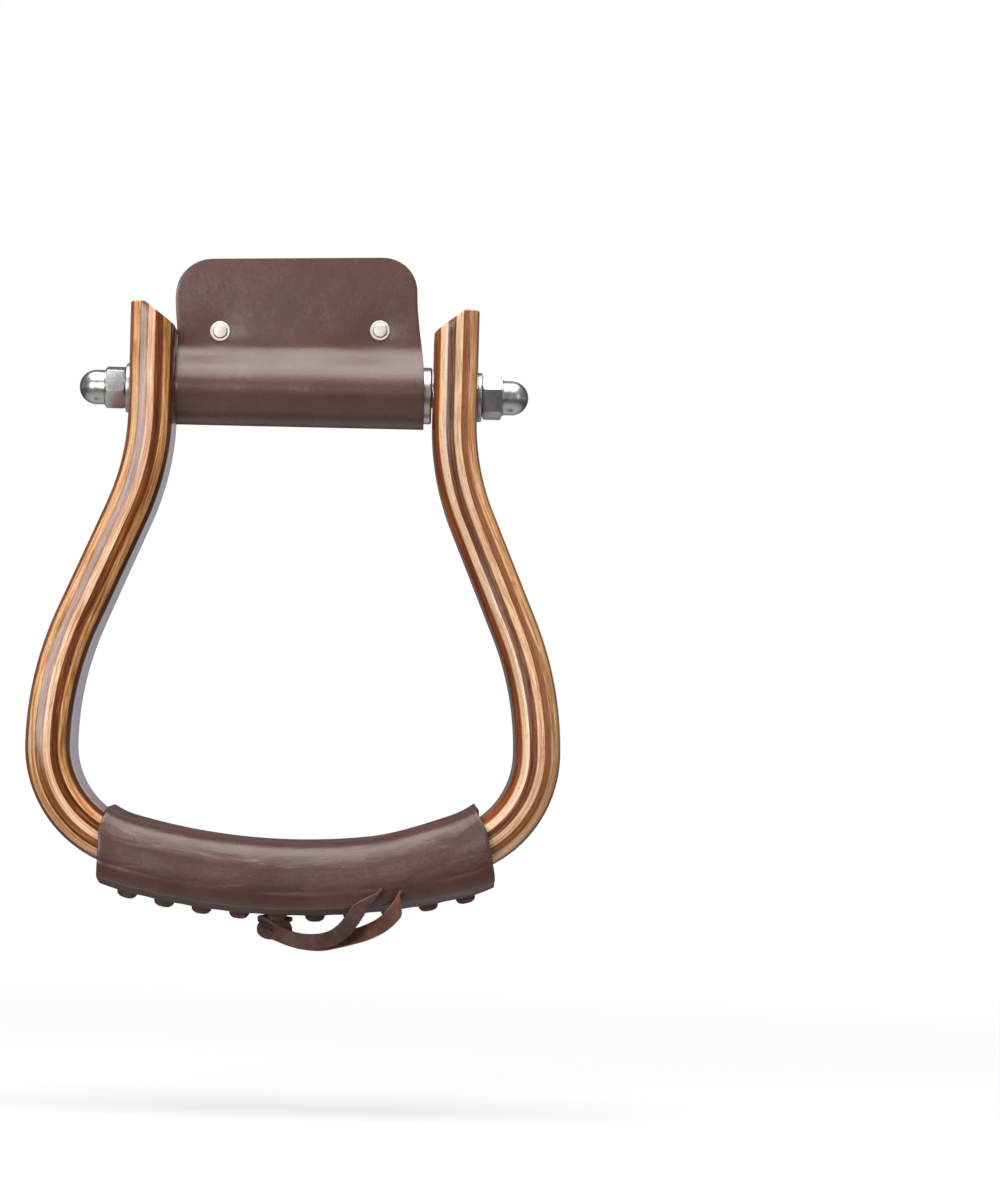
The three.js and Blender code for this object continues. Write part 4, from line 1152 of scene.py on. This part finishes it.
def tread_cover():
    line = cover_line()
    along = running(line)
    rows = 96
    verts, coords = [], []
    places = stitches()
    for i in range(rows + 1):
        share = 2 * i / rows - 1
        for j, (y, t) in enumerate(line):
            ny, nt = normal_at(line, j)
            side = -1 if share < 0 else 1
            s = abs(share) * cover_end(y, t, side)
            lift = cover_lift(s, y, t, places)
            bridge = COVER_BRIDGE * smoothstep(s, 26, 64) * (1 - smoothstep(t, -1, 13))
            verts.append(on_bell(s, y + ny * lift, t + nt * lift - bridge))
            coords.append((s, along[j], 0))
    obj = make_object("tread_cover_leather", verts, skin(rows + 1, len(line), False), coords, "hide")

    def away(centre):
        x, y, z = centre
        return Vector((0, y, z - BOTTOM_Z * MM - x * x / (2 * TREAD_RADIUS * MM)))

    flip_to(obj, away)
    thickened(obj, TREAD_LEATHER, CUT_EDGE)
    dress(obj, "tread_leather", "frame", "tread_leather", tread_hide, cut_edge, flesh)


def cover_lift(s, y, t, places):
    """How far the leather stands in or out: pulled in by each stitch, slack between them."""
    lift = 0.0
    if t > THICKNESS - 2:
        for place in places:
            lift -= STITCH_DIP * hump(s - place, 4.2) * hump(y - FRONT_SLIT, 7)
        lift += 0.2 * hump(y + 20, 6) * (1 + wave((1, s / STITCH_PITCH, 0.4)))
    if y < 0 and t < THICKNESS:
        lift += 0.12 * (1 + wave((1, s / 61, 0.9), (0.6, s / 27, 2.0)))
    return lift


tread_cover()


# Lace.
def rounded_line(corners, radius, steps):
    """Line through the corners with each of them rounded."""
    line = [corners[0]]
    for before, corner, after in zip(corners, corners[1:], corners[2:]):
        back, on = before - corner, after - corner
        trim = min(radius, back.length * 0.45, on.length * 0.45)
        start = corner + back.normalized() * trim
        end = corner + on.normalized() * trim
        for i in range(steps + 1):
            f = i / steps
            line.append(start * (1 - f) ** 2 + corner * 2 * f * (1 - f) + end * f * f)
    line.append(corners[-1])
    return line


def rounded_section(width, thickness, edge, steps=3):
    """Outline of a flat lace as (across, through) points, with rounded corners."""
    a, b = width / 2 - edge, thickness / 2 - edge
    outline = []
    for cx, cz, start in ((a, b, 0), (-a, b, 90), (-a, -b, 180), (a, -b, 270)):
        outline += arc((cx, cz), edge, start, start + 90, steps)
    return outline


def domed_section(width, thickness, out):
    """Outline of a lace drawn down at its edges: flat towards the leather and domed on the other side."""
    outline = []
    for degrees in range(0, 360, 18):
        a = math.radians(degrees)
        u = width / 2 * math.copysign(abs(math.cos(a)) ** 0.8, math.cos(a))
        if a < math.pi:
            v = thickness * (math.sin(a) ** 0.8 - 0.5)
        else:
            v = -thickness / 2 * (1 + 0.15 * math.sin(a))
        outline.append((u, out * v))
    return outline


def ribbon(name, line, across_at, outline_at):
    """Flat lace along a line of points in millimetres, closed at both ends."""
    verts, coords = [], []
    total = running(line)
    count = len(outline_at(0))
    for i, point in enumerate(line):
        forward = forward_at(line, i)
        across = across_at(i, forward)
        normal = across.cross(forward).normalized()
        outline = outline_at(i)
        half = max(u for u, _ in outline)
        for u, v in outline:
            verts.append(tuple(point + across * u + normal * v))
            coords.append((total[i], u / half, v))
    last = (len(line) - 1) * count
    faces = [*skin(len(line), count), tuple(range(count)), tuple(range(last, last + count))]
    return make_object(name, verts, faces, coords, "hide", 45)


def whip_lace(name, node, places, knot_s, front_first):
    """Lacing from the cover's end to the knot, with a bar across the seam at each place."""
    entry, leave = (FRONT_SLIT, BACK_SLIT) if front_first else (BACK_SLIT, FRONT_SLIT)
    towards = math.copysign(1, knot_s - places[0])
    over = [
        (FRONT_SLIT, LACE_ON_FRONT_T),
        (FRONT_FLAP_EDGE + LACE_THICKNESS / 2, LACE_ON_FRONT_T),
        (FRONT_FLAP_EDGE + 2 * LACE_THICKNESS, LACE_ON_BACK_T),
        (BACK_SLIT, LACE_ON_BACK_T),
    ]
    outside = over if front_first else over[::-1]
    corners = [Vector((places[0] - towards * LACE_END, entry, LACE_INSIDE_T))]
    for s in places:
        corners.append(Vector((s, entry, LACE_INSIDE_T)))
        corners += [Vector((s, y, t)) for y, t in outside]
        corners.append(Vector((s, leave, LACE_INSIDE_T)))
    out_t = LACE_ON_FRONT_T if front_first else LACE_ON_BACK_T
    end_y = entry + math.copysign(LACE_BEND + LACE_THICKNESS, leave - entry)
    to_knot = [(entry, LACE_INSIDE_T), (entry, out_t), (end_y, out_t)]
    corners += [Vector((knot_s, y, t)) for y, t in to_knot]
    flat_line = rounded_line(corners, LACE_BEND, 6)
    line = [Vector(on_bell(*p)) for p in flat_line]

    def across(i, _):
        _, along, _ = bell_frame(flat_line[i].x)
        return Vector((along[0], 0, along[1]))

    section = domed_section(LACE_WIDTH, LACE_THICKNESS, -1 if front_first else 1)
    obj = ribbon(name, line, across, lambda i: section)
    dress(obj, node, "frame", "lace", lace_hide)


KNOT_S = STITCH_SHIFT - STITCH_PITCH / 2
KNOT_TOP = on_bell(KNOT_S, 0, LACE_LOWEST_T)[2] - CLEARANCE
KNOT_REACH = KNOT_RING + KNOT_SWELL
KNOT_Z = KNOT_TOP - KNOT_SQUASH * KNOT_REACH * math.sqrt(3) / 2 - KNOT_STRAND / 2
KNOT_CENTRE = Vector((KNOT_RIGHT - KNOT_REACH - CLEARANCE, KNOT_Y, KNOT_Z))


def knot():
    """Overhand knot of flat lace drawn tight: a closed strap that winds over and under itself."""
    steps = 150
    section = rounded_section(STRAP_WIDTH, STRAP_THICKNESS, STRAP_EDGE)
    pulled = KNOT_CENTRE + Vector(KNOT_PULL)
    middle = []
    for i in range(steps):
        turn = 2 * math.pi * i / steps
        weave = 3 * turn + KNOT_PHASE
        radius = KNOT_WRAP + KNOT_WRAP_SWELL * math.sin(weave)
        place = (KNOT_SPREAD * math.cos(weave), -radius * math.cos(2 * turn), radius * math.sin(2 * turn))
        middle.append(Vector(place))
    verts, coords = [], []
    total = running(middle)
    for i, point in enumerate(middle):
        forward = (middle[(i + 1) % steps] - middle[i - 1]).normalized()
        side = forward.cross(Vector((0, point.y, point.z))).normalized()
        normal = side.cross(forward)
        for u, v in section:
            verts.append(tuple(pulled + point + side * u + normal * v))
            coords.append((total[i], 2 * u / STRAP_WIDTH, v))
    obj = make_object("tied_lace_knot", verts, skin(steps, len(section), True, True), coords, "hide", 60)
    dress(obj, "lace_knot", "frame", "lace", lace_hide)


places = stitches()
left_places = [s for s in places if s < KNOT_S - STITCH_PITCH / 2]
right_places = [s for s in places if s > KNOT_S + STITCH_PITCH / 2][::-1]
whip_lace("left_whip_lace", "left_lace", left_places, KNOT_S, True)
whip_lace("right_whip_lace", "right_lace", right_places, KNOT_S, False)
knot()

# Tails, in X, Y and Z from the solid knot's middle. They come out of the shown knot at its lower right.
FRONT_TAIL = [
    (-2.2, -3.6, 1.4), (0.7, -5.0, 0.5), (3.8, -6.1, -0.6), (7.5, -6.6, -1.2), (11.5, -8.6, -1.1),
    (14.9, -11.4, -0.4), (18.2, -14.8, 1.1), (21.5, -19.0, 4.0), (23.9, -22.8, 7.3), (26.0, -26.0, 10.8),
    (28.2, -28.2, 14.2), (30.2, -28.9, 17.0), (31.6, -29.0, 19.0),
]
REAR_TAIL = [
    (-1.4, -0.6, 1.0), (2.6, 0.2, -0.6), (7.0, 0.4, -1.7), (13.1, -1.4, -2.0), (19.7, -5.4, -0.5),
    (23.7, -9.6, 0.8), (26.7, -12.8, 1.8), (30.3, -17.0, 3.5), (33.9, -21.4, 5.8), (37.0, -25.8, 9.0),
    (39.4, -28.4, 12.4), (41.4, -29.0, 16.2),
]


def tail(name, node, route, material, twist, tip, cut_side):
    """Loose end of the lace, cut slantwise to a point on one side."""
    line = curve_through([Vector(p) + KNOT_CENTRE for p in route])
    total = running(line)
    length = total[-1]

    def across(i, forward):
        flat = Vector((0, 1, 0)).cross(forward).normalized()
        return Matrix.Rotation(twist * math.sin(math.pi * total[i] / length), 3, forward) @ flat

    def width(i):
        return max(TAIL_WIDTH * min((length - total[i]) / tip, 1), TAIL_POINT)

    shown = []
    for i, point in enumerate(line):
        inset = (TAIL_WIDTH - width(i)) / 2
        shown.append(point + across(i, forward_at(line, i)) * cut_side * inset)
    obj = ribbon(name, shown, across, lambda i: rounded_section(width(i), TAIL_THICKNESS, TAIL_EDGE))
    dress(obj, node, "frame", "lace", material)


tail("front_tail_lace", "front_lace_tail", FRONT_TAIL, lace_hide, math.radians(12), FRONT_TAIL_TIP, 1)
tail("rear_tail_lace", "rear_lace_tail", REAR_TAIL, tail_hide, math.radians(-14), REAR_TAIL_TIP, -1)


# Floor, light and camera. Places of lights and camera are in metres.
CENTRE = Vector((0, 0, -0.07))
FLOOR_REACH = 30000  # from the middle to each side
FLOOR_HEIGHT = -240
FLOOR_LIT = 0.2  # grey of its lit part near the stirrup, where it shows the shadow
FLOOR_GLOW = 0.745  # its own glow there
FLOOR_FAR = (0.2, 0.8)  # distances in metres over which it turns plain white
FLOOR_BOUNCE = 0.38  # its grey for all rays but the camera's
AMBIENT = 0.22  # grey of the surroundings in all light but reflections
REAR_GREY = 0.08  # what reflections find to the rear, above the horizon
BACKDROP = (0.50, 0.50, 0.58, 1)  # and straight behind, in the right half
# Brightness that reflections find at each height, from straight down (-1) to straight up (1).
STUDIO = [
    (-1, 0.6), (-0.84, 0.6), (-0.66, 0.45), (-0.5, 0.12), (-0.2, 0.07), (-0.04, 0.2),
    (0.05, 0.5), (0.15, 0.18), (0.4, 0.2), (0.8, 0.4), (1, 0.5),
]
CAMERA_PLACE = (0.0386, -1.5, -0.11)
CAMERA_TURN = (-1.098, 1.616, 1.505)  # yaw, pitch and roll in degrees
SENSOR = 36
FOCAL_PIXELS = 4484  # in a frame of FRAME_PIXELS on its longer side
FRAME_PIXELS = 1200  # the photograph's height


def floor():
    """Pale floor under the hanging stirrup. It shows the shadow near it and is plain white farther off."""
    signs = ((-1, -1), (1, -1), (1, 1), (-1, 1))
    corners = [(i * FLOOR_REACH, j * FLOOR_REACH, FLOOR_HEIGHT) for i, j in signs]
    obj = make_object("floor", corners, [(0, 1, 2, 3)])
    shader = Shader("pale_floor")
    shader.tree.nodes.remove(shader.bsdf)
    x, y, _ = shader.parts(shader.own())
    reach = shader.maths("SQRT", shader.plus(shader.times(x, x), shader.times(y, y)))
    lit = shader.add("ShaderNodeBsdfDiffuse", {"Color": linear(FLOOR_LIT)})
    glow = shader.add("ShaderNodeEmission", {"Strength": FLOOR_GLOW})
    near = shader.add("ShaderNodeAddShader", {0: lit, 1: glow})
    white = shader.add("ShaderNodeEmission", {"Strength": 1.0})
    pale = shader.add("ShaderNodeMixShader", {0: shader.range(reach, *FLOOR_FAR), 1: near, 2: white})
    plain = shader.add("ShaderNodeBsdfDiffuse", {"Color": linear(FLOOR_BOUNCE)})
    seen = shader.add("ShaderNodeMixShader", {0: shader.eye(), 1: plain, 2: pale})
    shader.put(seen, shader.tree.nodes["Material Output"].inputs["Surface"])
    obj.data.materials.append(shader.material)
    obj.visible_glossy = False


def softbox(name, place, target, width, height, radiance):
    """Soft panel of even brightness, aimed at the target. Only reflections show the panel itself."""
    lamp = bpy.data.lights.new(name, "AREA")
    energy = radiance * math.pi * width * height
    filled(lamp, shape="RECTANGLE", size=width, size_y=height, energy=energy)
    aim = (Vector(target) - Vector(place)).to_track_quat("-Z", "Y").to_euler()
    obj = bpy.data.objects.new(name, lamp)
    filled(obj, location=place, rotation_euler=aim, visible_camera=False)
    bpy.context.collection.objects.link(obj)


def world_light():
    """White surroundings to the eye, an even grey for soft light and a studio for reflections."""
    world = bpy.data.worlds.new("studio")
    bpy.context.scene.world = world
    world.use_nodes = True
    sky = Nodes(world.node_tree)
    x, y, z = sky.parts(sky.own("Generated"))
    height = sky.plus(sky.times(z, 0.5), 0.5)
    studio = sky.ramp(height, [((at + 1) / 2, glow) for at, glow in STUDIO])
    rearward = sky.times(sky.range(y, 0.15, 0.5, 0.0, 0.7), sky.range(z, -0.3, 0.0))
    shaded = sky.mix(rearward, studio, REAR_GREY)
    right_half = sky.times(sky.range(z, -0.5, -0.25), sky.range(x, 0.0, 0.05))
    behind = sky.times(sky.range(y, 0.85, 0.96), right_half)
    mirrored = sky.mix(behind, shaded, BACKDROP)
    glossy = sky.add("ShaderNodeLightPath", output="Is Glossy Ray")
    lighting = sky.mix(glossy, AMBIENT, mirrored)
    sky.put(sky.mix(sky.eye(), lighting, 1.0), sky.tree.nodes["Background"].inputs["Color"])


def around(azimuth, height, distance):
    """Place at so many degrees to the right of the front, and above, at a distance from the middle."""
    a, h = math.radians(azimuth), math.radians(height)
    return CENTRE + distance * Vector((math.sin(a) * math.cos(h), -math.cos(a) * math.cos(h), math.sin(h)))


def camera():
    """Camera at the photograph's viewpoint: low, looking a little up and to the right, slightly rolled."""
    data = bpy.data.cameras.new("view")
    lens = FOCAL_PIXELS * SENSOR / FRAME_PIXELS
    filled(data, sensor_width=SENSOR, lens=lens, clip_start=0.05, clip_end=100)
    obj = bpy.data.objects.new("view", data)
    yaw, pitch, roll = (math.radians(angle) for angle in CAMERA_TURN)
    raised = Matrix.Rotation(math.pi / 2 + pitch, 4, "X")
    turn = Matrix.Rotation(yaw, 4, "Z") @ raised @ Matrix.Rotation(roll, 4, "Z")
    obj.matrix_world = Matrix.Translation(CAMERA_PLACE) @ turn
    bpy.context.collection.objects.link(obj)
    bpy.context.scene.camera = obj


floor()
world_light()
softbox("overhead", (-0.05, -0.27, 0.95), (-0.05, -0.27, 0), 1.3, 1.05, 5.0)
softbox("left_panel", around(-27, 11, 1.25), CENTRE, 0.67, 0.48, 7.8)
softbox("right_fill", around(50, 15, 1.25), CENTRE, 0.4, 0.5, 1.2)
camera()
bpy.context.scene.view_settings.view_transform = "Standard"
